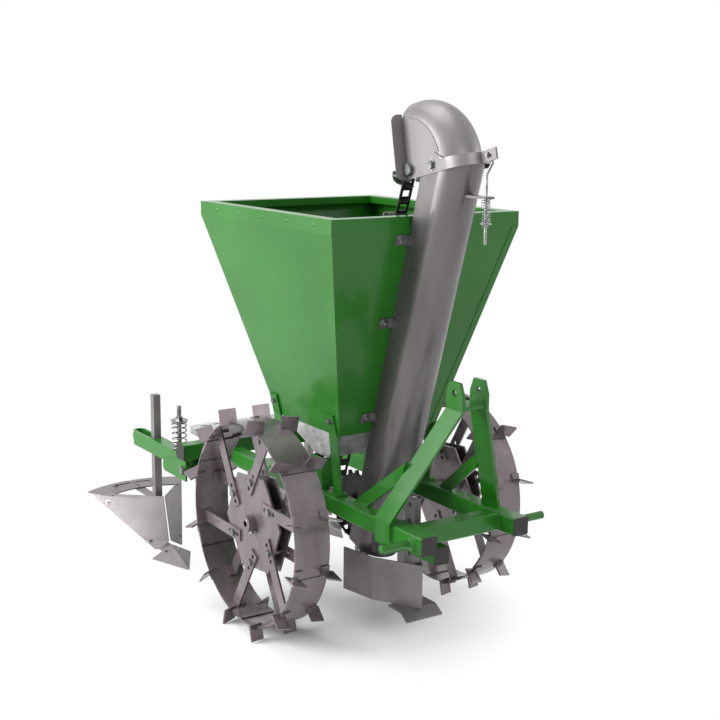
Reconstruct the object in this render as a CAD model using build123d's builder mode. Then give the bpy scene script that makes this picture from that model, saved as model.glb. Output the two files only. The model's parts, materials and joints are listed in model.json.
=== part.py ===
"""Single-row potato planter for a tractor's three-point hitch, as an assembly of separate pieces.

Millimetres, +Z up, +Y towards the rear and +X to the machine's left. The origin is on the ground
under the middle of the machine. Every piece is one node, saved under its own name.
"""
import os
from math import asin, atan2, copysign, cos, degrees, hypot, pi, radians, sin, sqrt, tan

from build123d import *

# Ground wheels: their lugs set the height of the axle, and the axle that of the frame
WHEEL_TRACK = 678.0
RIM_RADIUS = 297.0
RIM_WIDTH = 110.0
RIM_SHEET = 4.0
RIM_SEGMENTS = 6
RIM_SEAM_ANGLE = 21.0
RIM_OVERLAP_ANGLE = 7.0
RIM_SEAM_GAP = 0.1
LUGS_PER_EDGE = 12
LUG_OUTWARD = 37.0
LUG_INWARD = 10.0
LUG_WIDTH = 50.0
LUG_SHEET = 5.0
LUG_SKEW = 20.0
LUG_FOOT = 26.0
SPOKE_WIDTH = 35.0
SPOKE_THICKNESS = 6.0
SPOKE_BOLT_RADIUS = 120.0
SPOKE_BOLT_ANGLE = 29.0
SPOKE_SLANT = 30.0
SPOKE_INNER_REACH = 38.0
SPOKE_HOLE_PITCH = 24.0
SPOKE_FOOT = 26.0
HUB_PLATE_RADIUS = 156.0
HUB_PLATE_ANGLE = 5.0
HUB_PLATE_OFFSET = 15.0
HUB_RADIUS = 24.0
HUB_LENGTH = 84.0
WHEEL_BOLT_RADIUS = 6.0
WHEEL_BOLT_OVERHANG = 12.0
AXLE_RADIUS = 15.0
AXLE_OVERHANG = 3.0
BEARING_HALF_LENGTH = 34.0
BEARING_DROP = 30.0
AXLE_Y = -190.5
AXLE_BELOW_BEAM = 59.5

# Bolt heads and nuts, as multiples of the bolt's radius
HEAD_HEIGHT = 1.3
NUT_HEIGHT = 1.6
ACROSS_FLATS = 3.2

# Square-tube frame
BEAM = 50.0
BEAM_WALL = 4.0
BEAM_CORNER = 5.0
BEAM_SPACING = 311.0
BEAM_LENGTH = 1071.0
AXLE_FROM_FRONT = 573.0
FRONT_CROSS_FROM_FRONT = 88.0
OPENER_CROSS_FROM_FRONT = 200.0
OPENER_CROSS_LENGTH = 352.0
REAR_BEAM_LENGTH = 660.0
REAR_BEAM_RAISE = 25.0
CAP_THICKNESS = 3.0
CAP_PLUG_DEPTH = 15.0
CAP_PLUG_GAP = 0.4

# Three-point hitch
PIN_RADIUS = 11.0
PIN_LENGTH = 95.0
PIN_FROM_FRONT = 47.0
PIN_CHAMFER = 2.0
LYNCH_HOLE_RADIUS = 4.0
LYNCH_HOLE_FROM_TIP = 14.0
TOP_LINK_RADIUS = 10.0
TOP_LINK_GAP = 70.0
TOP_LINK_FROM_FRONT = 50.0
TOP_LINK_ABOVE_BEAM = 385.0
TOP_LINK_TO_TIP = 30.0
TOWER_BAR_WIDTH = 70.0
TOWER_BAR_THICKNESS = 10.0
TOWER_FOOT_FROM_FRONT = 165.0
TOWER_LUG_HEIGHT = 75.0
TOWER_TIP_WIDTH = 42.0
TOWER_BEND_ABOVE_BEAM = 5.0
TOWER_BAR_BELOW_BEAM = 12.0
TOWER_SPACER_THICKNESS = 10.0
TOWER_SPACER_INSET = 4.0
TOWER_SPACER_ABOVE_BEND = 2.0
BRACE_THICKNESS = 8.0
BRACE_FOOT_FROM_FRONT = 330.0
BRACE_WIDTH = 60.0
BRACE_TOP_ABOVE_BEND = 160.0

# Seed hopper with its feed pan
HOPPER_SHEET = 2.5
HOPPER_RIM_HALF_WIDTH = 313.0
HOPPER_RIM_FRONT = 233.0
HOPPER_RIM_REAR = 967.0
HOPPER_RIM_HEIGHT = 40.0
HOPPER_RIM_TOP = 38.0
HOPPER_RIM_RETURN = 22.0
HOPPER_BASE_HALF_WIDTH = 170.0
HOPPER_BASE_FRONT = 410.0
HOPPER_BASE_REAR = 757.0
HOPPER_BASE_ABOVE_BEAM = 205.0
HOPPER_PANEL_HEIGHT = 590.0
LEG_WIDTH = 40.0
LEG_THICKNESS = 6.0
LEG_OVERLAP = 62.0
LEG_FOOT_LENGTH = 70.0
LEG_FOOT_WIDTH = 42.0
LEG_FOOT_INSET = 4.0
FRONT_LEG_FROM_FRONT = 435.0
REAR_LEG_FROM_FRONT = 748.0
PAN_SIDE_INSET = 10.0
PAN_FRONT_INSET = 8.0
PAN_REAR_INSET = 2.0
PAN_DEPTH = 80.0
PAN_SHEET = 2.5
PAN_FLOOR_FRONT = 484.0
PAN_FLOOR_REAR = 555.0
PAN_SLOT_HALF_WIDTH = 45.0
PAN_SLOT_FRONT = 588.0
PAN_SLOT_REAR = 700.0
PAN_POST_LENGTH = 60.0
PAN_POST_WIDTH = 44.0
PAN_POST_SHEET = 4.0

# Planting tube, hood and cup chain
TUBE_HALF_WIDTH = 65.0
TUBE_SIDE_DEPTH = 90.0
TUBE_WALL = 2.5
TUBE_LEAN = 17.3
TUBE_AT_BEAM_FROM_FRONT = 412.5
TUBE_END_BELOW_BEAM = 160.0
TUBE_TOP_ABOVE_SHAFT = 49.0
TUBE_BELOW_BRIM = 10.0
TUBE_NOTCH_BEHIND = 8.0
CLIPS_ABOVE_BASE = (49.0, 333.0, 567.0)
CLIP_WIDTH = 44.0
CLIP_HEIGHT = 30.0
CLIP_SHEET = 3.0
CLIP_UPRIGHT = 18.0
HOOD_ABOVE_BEAM = 958.0
HOOD_RADIUS = 182.0
HOOD_CHEEK_RADIUS = 132.0
HOOD_GAP = 0.5
HOOD_SHEET = 2.0
HOOD_REAR_ANGLE = 79.0
HOOD_FRONT_ANGLE = 166.0
COLLAR_DEPTH = 30.0
COLLAR_CENTRE = 152.0
FOLD_BEHIND = 18.0
GUARD_WIDTH = 36.0
GUARD_BELOW = 26.0
GUARD_ABOVE = 148.0
GUARD_CORNER = 22.0
HOOD_PIVOT_AHEAD = 95.0
HOOD_PIVOT_ABOVE = 16.0
HOOD_PIVOT_BEHIND_AXIS = 30.0
HOOD_BOLT_RADIUS = 6.0
HOOD_BOLT_REACH = 14.0
RUNNING_GAP = 0.05
SHAFT_RADIUS = 9.0
SHAFT_OVERHANG = 14.0
EAR_HOLE_RADIUS = 8.0
EAR_LENGTH = 61.0
EAR_THICKNESS = 6.0
EAR_HOLE_FROM_TIP = 27.0
ROD_RADIUS = 4.0
ROD_BEHIND_EAR = 10.0
ROD_BEND_BELOW_EAR = 48.0
ROD_HOOK_HEIGHT = 20.0
ROD_HOOK_GAP = 2.0
ROD_WASHER = 2.0
ROD_WASHER_LAP = 4.0
ROD_NUT_HEIGHT = 8.0
ROD_NUT_WIDTH = 15.0
ROD_TAIL = 54.0
ROD_BRACKET_BELOW_SHAFT = 58.0
ROD_BRACKET_WIDTH = 30.0
ROD_BRACKET_THICKNESS = 6.0
TENSION_SPRING_LENGTH = 62.0
TENSION_SPRING_RADIUS = 11.0
TENSION_SPRING_WIRE = 2.5
TENSION_SPRING_TURNS = 9
CHAIN_PITCH = 41.4
CHAIN_HALF_WIDTH = 19.0
CHAIN_PLATE = 4.0
CHAIN_ROLL_RADIUS = 4.0
LINK_GAP = 0.6
LINK_END_BAR = 9.0
LINK_SIDE_BAR = 7.6
LINK_WINDOW_SHIFT = 2.0
TOP_TEETH = 12
DRIVE_TEETH = 16
CUP_EVERY = 3
CUP_RADIUS = 29.0
CUP_WALL = 2.5
CUP_OFFSET = 33.0
CUP_DRAIN_RADIUS = 7.0
CUP_TAB_WIDTH = 30.0
CUP_TAB_DEPTH = 8.0
CUP_TAB_BACK = 4.0
SPROCKET_THICKNESS = 10.0
TOOTH_HEIGHT = 11.0
TOOTH_WIDTH = 13.0
TOOTH_FLANK_ANGLE = 75.0
TOP_SPROCKET_SLACK = 11.0
TOP_HUB_RADIUS = 20.0
TOP_HUB_HALF = 22.0
DRIVE_HUB_RADIUS = 30.0
DRIVE_HUB_HALF = 26.0

# Furrow opener
OPENER_SHANK_WIDTH = 50.0
OPENER_SHANK_THICKNESS = 20.0
OPENER_SHANK_FROM_FRONT = 284.5
OPENER_SHANK_ABOVE_BEAM = 29.0
OPENER_SHANK_RAISE = 10.0
OPENER_NOSE_FROM_FRONT = 232.0
OPENER_FOLD_FROM_FRONT = 370.0
OPENER_FOLD_HALF_WIDTH = 80.0
OPENER_REAR_FROM_FRONT = 490.0
OPENER_REAR_HALF_WIDTH = 100.0
OPENER_LOW_BELOW_BEAM = 285.0
OPENER_HEIGHT = 128.0
OPENER_SHEET = 5.0
OPENER_HOLE_RADIUS = 7.0
OPENER_HOLE_PITCH = 48.0
OPENER_HOLE_FROM_TOP = 16.0
OPENER_HOLES = 4
SOCKET_AHEAD = 28.0
SLEEVE_RAISE = 4.0
SLEEVE_HEIGHT = 80.0
SLEEVE_WALL = 6.0
SLIDE_GAP = 0.3
BLADE_WIDTH = 125.0
BLADE_SHEET = 6.0
BLADE_LENGTH = 60.0
BLADE_DROP = 26.0
BLADE_BEND_BEHIND_NOSE = 20.0
BLADE_POINT_AHEAD = 12.0

# Step over the rear beam
STEP_WIDTH = 480.0
STEP_LENGTH = 150.0
STEP_HEIGHT = 25.0
STEP_SHEET = 2.5
STEP_AHEAD = 6.0
STEP_MARGIN = 40.0
STEP_SLOT_PITCH = 50.0
STEP_SLOT_LENGTH = 30.0
STEP_SLOT_WIDTH = 11.0
STEP_HOLE_RADIUS = 4.0

# Ridging bodies behind the wheels: brackets, sprung arms and shanks
HILLER_OFFSET = 302.0
HILLER_PIVOT_FROM_FRONT = 1083.0
HILLER_PIVOT_BELOW_BEAM = 32.0
HILLER_PIVOT_RADIUS = 8.0
HILLER_PIVOT_OVERHANG = 15.0
BRACKET_PLATE = 6.0
BRACKET_GAP = 0.5
BRACKET_AHEAD = 5.0
BRACKET_REAR_FROM_FRONT = 1215.0
BRACKET_REAR_BELOW_BEAM = 47.0
BRACKET_REAR_RADIUS = 20.0
BRACKET_LOW_BELOW_BEAM = 67.0
SPRING_ROD_FROM_FRONT = 1165.0
SPRING_ROD_RADIUS = 7.0
SPRING_ROD_ABOVE_BEAM = 160.0
SPRING_ROD_HEAD = 8.0
SPRING_WASHER = 3.0
SPRING_NUT_HEIGHT = 11.0
SPRING_NUT_WIDTH = 22.0
HILLER_SPRING_TOP_ABOVE_BEAM = 110.0
HILLER_SPRING_RADIUS = 23.0
HILLER_SPRING_WIRE = 5.0
HILLER_SPRING_TURNS = 6
ARM_WIDTH = 44.0
ARM_STRAP = 8.0
ARM_LOW_BELOW_BEAM = 37.0
ARM_HEIGHT = 50.0
ARM_REAR_FROM_FRONT = 1500.0
ARM_TOP_FROM_FRONT = 1138.0
ARM_BOSS_RADIUS = 20.0
ARM_SLOT_LENGTH = 44.0
ARM_SLOT_GAP = 2.0
HILLER_SHANK = 25.0
HILLER_SHANK_FROM_FRONT = 1345.0
HILLER_SHANK_ABOVE_BEAM = 163.0

# Shares and wings of the ridging bodies, which run on the ground
SHARE_TIP_FROM_FRONT = 1110.0
SHARE_BACK_FROM_FRONT = 1243.0
SHARE_HALF_WIDTH = 72.0
SHARE_TOP_Z = 52.0
SHARE_SIDE_Z = 12.0
SHARE_TIP = 1.0
SHARE_SHEET = 5.0
FROG_LOW_Z = 8.0
FROG_LAP = 45.0
FROG_THICKNESS = 10.0
TAIL_WIDTH = 30.0
CLAMP_ANGLE = 14.0
CLAMP_MARGIN_ANGLE = 3.0
CLAMP_BOLT_RADIUS = 5.0
WING_AXIS_FROM_FRONT = 1250.0
WING_SHEET = 4.0
WING_TOP_Z = 206.0
WING_END_Z = 187.0
WING_END_HALF_SPREAD = 172.0
WING_END_BEHIND = 262.0
WING_START = 5.0
WING_FRONT_LOW_Z = 60.0
WING_TOP_BEHIND = 40.0
WING_LOW_SPREAD = 50.0
WING_LOW_BEHIND = 12.0
WING_LOW_Z = 36.0
WING_TIP = 8.0
QUADRANT_OUTER_RADIUS = 325.0
QUADRANT_INNER_RADIUS = 228.0
QUADRANT_SHEET = 4.0
QUADRANT_START = 0.5
QUADRANT_SLOT_RADIUS = 295.0
QUADRANT_SLOT_ANGLES = (2.0, 16.0)

# Positions that follow from the sizes above
LUG_RADIUS = RIM_RADIUS + LUG_OUTWARD
LUG_STEP = 360 / LUGS_PER_EDGE
LUG_CORNER = LUG_WIDTH / 2 * sin(radians(LUG_SKEW)) + LUG_SHEET / 2 * cos(radians(LUG_SKEW))
AXLE_Z = LUG_RADIUS * cos(radians(LUG_STEP / 2)) + LUG_CORNER * sin(radians(LUG_STEP / 2))
BEAM_Z = AXLE_Z + AXLE_BELOW_BEAM
BEAM_X = BEAM_SPACING / 2
BEAM_TOP = BEAM_Z + BEAM / 2
BEAM_BASE = BEAM_Z - BEAM / 2
FRONT_Y = AXLE_Y - AXLE_FROM_FRONT
SIDES = (("right", -1), ("left", 1))
OPENER_LOW_Z = BEAM_Z - OPENER_LOW_BELOW_BEAM
OPENER_TOP_Z = OPENER_LOW_Z + OPENER_HEIGHT
HILLER_PIVOT_Z = BEAM_Z - HILLER_PIVOT_BELOW_BEAM
HILLER_SPRING_TOP_Z = BEAM_Z + HILLER_SPRING_TOP_ABOVE_BEAM
BRACKET_REAR_Z = BEAM_Z - BRACKET_REAR_BELOW_BEAM
BRACKET_LOW_Z = BEAM_Z - BRACKET_LOW_BELOW_BEAM
ARM_LOW_Z = BEAM_Z - ARM_LOW_BELOW_BEAM

os.makedirs("parts", exist_ok=True)


def behind(distance):
    """Y of a point that lies a distance behind the beams' front ends."""
    return FRONT_Y + distance


def save(builder, name):
    """Label a finished piece and write it to its own file."""
    builder.part.label = name
    export_step(builder.part, f"parts/{name}.step")


def block(low, high, mode=Mode.ADD):
    """Box between two opposite corners."""
    with Locations(tuple((a + b) / 2 for a, b in zip(low, high))):
        Box(*(abs(b - a) for a, b in zip(low, high)), mode=mode)


def axis_plane(start, end):
    """Plane at the start point that faces the end point, and the distance between the two."""
    way = Vector(*end) - Vector(*start)
    return Plane(origin=start, z_dir=way), way.length


def round_bar(start, end, radius, mode=Mode.ADD):
    """Round bar between two points."""
    plane, length = axis_plane(start, end)
    with Locations(plane):
        Cylinder(radius, length, align=(Align.CENTER, Align.CENTER, Align.MIN), mode=mode)


def hex_bar(start, end, across_flats, mode=Mode.ADD):
    """Hexagonal bolt head or nut between two points."""
    plane, length = axis_plane(start, end)
    with BuildSketch(plane) as outline:
        RegularPolygon(across_flats / 2, 6, major_radius=False)
    extrude(outline.sketch, amount=length, mode=mode)


def bolt(seat, tip, radius, head=True, nut_at=None):
    """Bolt from the seat of its head to its tip, with an optional nut a distance along it."""
    way = (Vector(*tip) - Vector(*seat)).normalized()
    round_bar(seat, tip, radius)
    if head:
        hex_bar(Vector(*seat) - way * radius * HEAD_HEIGHT, seat, radius * ACROSS_FLATS)
    if nut_at is not None:
        start = Vector(*seat) + way * nut_at
        hex_bar(start, start + way * radius * NUT_HEIGHT, radius * ACROSS_FLATS)


def side_plate(points, x0, x1, mode=Mode.ADD):
    """Plate between x0 and x1 whose side view runs through (y, z) points."""
    with BuildSketch(Plane.YZ.offset(min(x0, x1))) as outline:
        Polygon(*points, align=None)
    extrude(outline.sketch, amount=abs(x1 - x0), mode=mode)


def front_plate(points, y0, y1, mode=Mode.ADD):
    """Plate between y0 and y1 whose front view runs through (x, z) points."""
    with BuildSketch(Plane.XZ.offset(-max(y0, y1))) as outline:
        Polygon(*points, align=None)
    extrude(outline.sketch, amount=abs(y1 - y0), mode=mode)


def plan_plate(points, z0, z1, mode=Mode.ADD):
    """Plate between z0 and z1 whose plan view runs through (x, y) points."""
    with BuildSketch(Plane.XY.offset(min(z0, z1))) as outline:
        Polygon(*points, align=None)
    extrude(outline.sketch, amount=abs(z1 - z0), mode=mode)


def square_tube(start, end):
    """Hollow square frame tube between the middles of its two ends."""
    way = Vector(*end) - Vector(*start)
    with BuildSketch(Plane(origin=start, x_dir=(0, 0, 1), z_dir=way)) as section:
        RectangleRounded(BEAM, BEAM, BEAM_CORNER)
        hollow = BEAM - 2 * BEAM_WALL
        RectangleRounded(hollow, hollow, BEAM_CORNER - BEAM_WALL, mode=Mode.SUBTRACT)
    extrude(section.sketch, amount=way.length)


def tube_cap(middle, outward):
    """Plastic cap on the end of a frame tube: a square cover with a plug inside the tube."""
    plug = BEAM - 2 * BEAM_WALL - 2 * CAP_PLUG_GAP
    cover = Plane(origin=middle, x_dir=(0, 0, 1), z_dir=outward)
    with BuildSketch(cover) as face:
        RectangleRounded(BEAM, BEAM, BEAM_CORNER)
    extrude(face.sketch, amount=CAP_THICKNESS)
    with BuildSketch(cover) as core:
        Rectangle(plug, plug)
    extrude(core.sketch, amount=-CAP_PLUG_DEPTH)


def coil_spring(foot, top_z, mean_radius, wire, turns, name):
    """Upright spring of round wire, each quarter turn two arcs that share their tangent."""
    pitch = (top_z - foot[2] - wire) / turns
    climb = pitch / (2 * pi * mean_radius)
    knots = []
    for quarter in range(4 * turns + 1):
        angle = quarter * pi / 2
        out = Vector(mean_radius * cos(angle), mean_radius * sin(angle), wire / 2 + pitch * quarter / 4)
        knots.append((Vector(*foot) + out, Vector(-sin(angle), cos(angle), climb).normalized()))
    with BuildPart() as spring:
        with BuildLine() as curl:
            for (start, way), (end, end_way) in zip(knots, knots[1:]):
                chord = end - start
                bend = 2 * (1 - way.dot(end_way))
                push = chord.dot(way + end_way)
                handle = (sqrt(push**2 + bend * chord.dot(chord)) - push) / bend
                first = start + way * handle
                second = end - end_way * handle
                joint = (first + second) * 0.5
                TangentArc(start, joint, tangent=way)
                TangentArc(joint, end, tangent=second - first)
        with BuildSketch(Plane(origin=knots[0][0], z_dir=knots[0][1])):
            Circle(wire / 2)
        sweep()
    per_turn = 24
    route = curl.wires()[0]
    points = [route.position_at(k / (per_turn * turns)) for k in range(per_turn * turns + 1)]
    least = min(
        (points[j] - points[i]).length
        for i in range(len(points))
        for j in range(i + per_turn // 2, len(points))
    )
    print(f"{name}: least gap to itself {least - wire:.2f} mm")
    save(spring, name)


# Frame: two long beams, a front cross beam, the opener's cross tube and the rear beam
for side, sign in SIDES:
    with BuildPart() as beam:
        square_tube((sign * BEAM_X, FRONT_Y, BEAM_Z), (sign * BEAM_X, behind(BEAM_LENGTH), BEAM_Z))
    save(beam, f"frame_beam_{side}")

cross_inside = BEAM_X - BEAM / 2
with BuildPart() as front_cross_beam:
    cross_y = behind(FRONT_CROSS_FROM_FRONT)
    square_tube((-cross_inside, cross_y, BEAM_Z), (cross_inside, cross_y, BEAM_Z))
save(front_cross_beam, "front_cross_beam")

opener_cross_y = behind(OPENER_CROSS_FROM_FRONT)
opener_cross_z = BEAM_Z - BEAM
with BuildPart() as opener_cross_tube:
    half = OPENER_CROSS_LENGTH / 2
    square_tube((-half, opener_cross_y, opener_cross_z), (half, opener_cross_y, opener_cross_z))
save(opener_cross_tube, "opener_cross_tube")

rear_beam_y = behind(BEAM_LENGTH) + BEAM / 2
rear_beam_z = BEAM_Z + REAR_BEAM_RAISE
with BuildPart() as rear_beam:
    half = REAR_BEAM_LENGTH / 2
    square_tube((-half, rear_beam_y, rear_beam_z), (half, rear_beam_y, rear_beam_z))
save(rear_beam, "rear_beam")

# Opener socket: a short tube under the cross tube that carries the sleeve of the opener's shank
shank_y = behind(OPENER_SHANK_FROM_FRONT)
sleeve_front = shank_y - OPENER_SHANK_WIDTH / 2 - SLIDE_GAP - SLEEVE_WALL
sleeve_rear = shank_y + OPENER_SHANK_WIDTH / 2 + SLIDE_GAP + SLEEVE_WALL
sleeve_half = OPENER_SHANK_THICKNESS / 2 + SLIDE_GAP + SLEEVE_WALL
socket_z = opener_cross_z - BEAM
socket_front = opener_cross_y - BEAM / 2 - SOCKET_AHEAD
sleeve_low = socket_z - BEAM / 2 + SLEEVE_RAISE
sleeve_high = sleeve_low + SLEEVE_HEIGHT
with BuildPart() as opener_socket:
    square_tube((0, socket_front, socket_z), (0, sleeve_front + SLEEVE_WALL / 2, socket_z))
    block((-sleeve_half, sleeve_front, sleeve_low), (sleeve_half, sleeve_rear, sleeve_high))
    block(
        (-sleeve_half + SLEEVE_WALL, sleeve_front + SLEEVE_WALL, sleeve_low),
        (sleeve_half - SLEEVE_WALL, sleeve_rear - SLEEVE_WALL, sleeve_high),
        mode=Mode.SUBTRACT,
    )
save(opener_socket, "opener_socket")

with BuildPart() as tube_end_caps:
    for side, sign in SIDES:
        tube_cap((sign * BEAM_X, FRONT_Y, BEAM_Z), (0, -1, 0))
        tube_cap((sign * OPENER_CROSS_LENGTH / 2, opener_cross_y, opener_cross_z), (sign, 0, 0))
        tube_cap((sign * REAR_BEAM_LENGTH / 2, rear_beam_y, rear_beam_z), (sign, 0, 0))
    tube_cap((0, socket_front, socket_z), (0, -1, 0))
save(tube_end_caps, "tube_end_caps")

# Lower hitch pins on the beams' outer faces, each with a cross hole for its lynch pin
for side, sign in SIDES:
    pin_root = sign * (BEAM_X + BEAM / 2)
    pin_tip = pin_root + sign * PIN_LENGTH
    pin_y = behind(PIN_FROM_FRONT)
    with BuildPart() as hitch_pin:
        round_bar((pin_root, pin_y, BEAM_Z), (pin_tip, pin_y, BEAM_Z), PIN_RADIUS)
        chamfer(hitch_pin.faces().sort_by(Axis.X)[-1 if sign > 0 else 0].edges(), PIN_CHAMFER)
        hole_x = pin_tip - sign * LYNCH_HOLE_FROM_TIP
        round_bar(
            (hole_x, pin_y, BEAM_Z - BEAM),
            (hole_x, pin_y, BEAM_Z + BEAM),
            LYNCH_HOLE_RADIUS,
            mode=Mode.SUBTRACT,
        )
    save(hitch_pin, f"hitch_pin_{side}")

# Tower: two bent flat bars that end in the top-link lugs, a spacer and two braces
lug_top = BEAM_Z + TOP_LINK_ABOVE_BEAM + TOP_LINK_TO_TIP
lug_bend = lug_top - TOWER_LUG_HEIGHT
top_link_y = behind(TOP_LINK_FROM_FRONT)
top_link_z = BEAM_Z + TOP_LINK_ABOVE_BEAM
tower_foot_y = behind(TOWER_FOOT_FROM_FRONT)
foot_bend = BEAM_TOP + TOWER_BEND_ABOVE_BEAM
half_bar = TOWER_BAR_WIDTH / 2
bar_low = BEAM_BASE - TOWER_BAR_BELOW_BEAM
beam_outside = BEAM_X + BEAM / 2
lug_inside = TOP_LINK_GAP / 2
for side, sign in SIDES:
    bent_bar = [
        (sign * beam_outside, bar_low),
        (sign * (beam_outside + TOWER_BAR_THICKNESS), bar_low),
        (sign * (beam_outside + TOWER_BAR_THICKNESS), foot_bend),
        (sign * (lug_inside + TOWER_BAR_THICKNESS), lug_bend),
        (sign * (lug_inside + TOWER_BAR_THICKNESS), lug_top),
        (sign * lug_inside, lug_top),
        (sign * lug_inside, lug_bend),
        (sign * beam_outside, foot_bend),
    ]
    bar_side_view = [
        (tower_foot_y - half_bar, bar_low),
        (tower_foot_y + half_bar, bar_low),
        (tower_foot_y + half_bar, foot_bend),
        (top_link_y + half_bar, lug_bend),
        (top_link_y + half_bar, lug_top - half_bar),
        (top_link_y + TOWER_TIP_WIDTH / 2, lug_top),
        (top_link_y - TOWER_TIP_WIDTH / 2, lug_top),
        (top_link_y - half_bar, lug_top - half_bar),
        (top_link_y - half_bar, lug_bend),
        (tower_foot_y - half_bar, foot_bend),
    ]
    with BuildPart() as tower_bar:
        front_plate(bent_bar, top_link_y - BEAM, tower_foot_y + BEAM)
        side_plate(bar_side_view, -BEAM_SPACING, BEAM_SPACING, mode=Mode.INTERSECT)
        round_bar(
            (0, top_link_y, top_link_z),
            (sign * BEAM_X, top_link_y, top_link_z),
            TOP_LINK_RADIUS,
            mode=Mode.SUBTRACT,
        )
    save(tower_bar, f"tower_bar_{side}")

with BuildPart() as tower_spacer:
    spacer_low = lug_bend + TOWER_SPACER_ABOVE_BEND
    spacer_reach = half_bar - TOWER_SPACER_INSET
    block(
        (-lug_inside, top_link_y - spacer_reach, spacer_low),
        (lug_inside, top_link_y + spacer_reach, spacer_low + TOWER_SPACER_THICKNESS),
    )
save(tower_spacer, "tower_spacer")

bar_rise = lug_bend - foot_bend
brace_top = foot_bend + BRACE_TOP_ABOVE_BEND
brace_under = brace_top - BRACE_WIDTH


def bar_rear_edge(z):
    """Y of the tower bar's rear edge at a height on its slanting part."""
    return tower_foot_y + half_bar + (top_link_y - tower_foot_y) * (z - foot_bend) / bar_rise


def tower_brace(sign):
    """Flat bar on edge from the rear of a tower bar down to its beam."""
    share = (brace_top - BRACE_WIDTH / 2 - foot_bend) / bar_rise
    bar_x = beam_outside - (beam_outside - lug_inside) * share + TOWER_BAR_THICKNESS / 2
    brace_y = bar_rear_edge(brace_under)
    foot_y = behind(BRACE_FOOT_FROM_FRONT)
    plan = [
        (sign * (bar_x - BRACE_THICKNESS / 2), brace_y - BEAM),
        (sign * (bar_x + BRACE_THICKNESS / 2), brace_y - BEAM),
        (sign * (BEAM_X + BRACE_THICKNESS / 2), foot_y + BRACE_WIDTH),
        (sign * (BEAM_X - BRACE_THICKNESS / 2), foot_y + BRACE_WIDTH),
    ]
    side_view = [
        (bar_rear_edge(brace_top), brace_top),
        (bar_rear_edge(brace_under), brace_under),
        (foot_y - BRACE_WIDTH / 2, BEAM_TOP),
        (foot_y + BRACE_WIDTH / 2, BEAM_TOP),
    ]
    with BuildPart() as brace:
        plan_plate(plan, BEAM_TOP - BEAM, brace_top + BEAM)
        side_plate(side_view, -BEAM_SPACING, BEAM_SPACING, mode=Mode.INTERSECT)
    return brace.part


braces = [tower_brace(sign) for side, sign in SIDES]
with BuildPart() as tower_braces:
    add(braces)
save(tower_braces, "tower_braces")

# Hopper: four flat panels that meet on mitred corners, and a folded rim around their top
hopper_base_z = BEAM_Z + HOPPER_BASE_ABOVE_BEAM
hopper_rim_z = hopper_base_z + HOPPER_PANEL_HEIGHT
side_slope = (HOPPER_RIM_HALF_WIDTH - HOPPER_BASE_HALF_WIDTH) / HOPPER_PANEL_HEIGHT
front_slope = (HOPPER_BASE_FRONT - HOPPER_RIM_FRONT) / HOPPER_PANEL_HEIGHT
rear_slope = (HOPPER_RIM_REAR - HOPPER_BASE_REAR) / HOPPER_PANEL_HEIGHT
side_wall = HOPPER_SHEET * hypot(1, side_slope)
front_wall = HOPPER_SHEET * hypot(1, front_slope)
rear_wall = HOPPER_SHEET * hypot(1, rear_slope)


def hopper_ring(z):
    """Outer and inner corners of the hopper at a height, from front right, clockwise in plan."""
    rise = z - hopper_base_z
    half = HOPPER_BASE_HALF_WIDTH + side_slope * rise
    front = behind(HOPPER_BASE_FRONT) - front_slope * rise
    rear = behind(HOPPER_BASE_REAR) + rear_slope * rise
    outer = [(-half, front), (-half, rear), (half, rear), (half, front)]
    inner_half = half - side_wall
    inner_front = front + front_wall
    inner_rear = rear - rear_wall
    inner = [
        (-inner_half, inner_front),
        (-inner_half, inner_rear),
        (inner_half, inner_rear),
        (inner_half, inner_front),
    ]
    return outer, inner


for first, name in enumerate(("hopper_side_right", "hopper_rear", "hopper_side_left", "hopper_front")):
    second = (first + 1) % 4
    with BuildPart() as panel:
        for z in (hopper_base_z, hopper_rim_z):
            outer, inner = hopper_ring(z)
            with BuildSketch(Plane.XY.offset(z)):
                Polygon(outer[first], outer[second], inner[second], inner[first], align=None)
        loft(ruled=True)
    save(panel, name)


def rim_ring(inset_outside, inset_inside, z0, z1):
    """Rectangular ring between two insets from the rim's outside."""
    with BuildSketch(Plane.XY.offset(z0)) as ring:
        middle_y = behind((HOPPER_RIM_FRONT + HOPPER_RIM_REAR) / 2)
        width = 2 * HOPPER_RIM_HALF_WIDTH
        length = HOPPER_RIM_REAR - HOPPER_RIM_FRONT
        with Locations((0, middle_y)):
            Rectangle(width - 2 * inset_outside, length - 2 * inset_outside)
            Rectangle(width - 2 * inset_inside, length - 2 * inset_inside, mode=Mode.SUBTRACT)
    extrude(ring.sketch, amount=z1 - z0)


rim_top = hopper_rim_z + HOPPER_RIM_HEIGHT
with BuildPart() as hopper_rim:
    rim_ring(0, HOPPER_SHEET, hopper_rim_z, rim_top)
    rim_ring(HOPPER_SHEET, HOPPER_RIM_TOP, rim_top - HOPPER_SHEET, rim_top)
    rim_ring(HOPPER_RIM_TOP - HOPPER_SHEET, HOPPER_RIM_TOP, rim_top - HOPPER_RIM_RETURN, rim_top)
save(hopper_rim, "hopper_rim")

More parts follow.
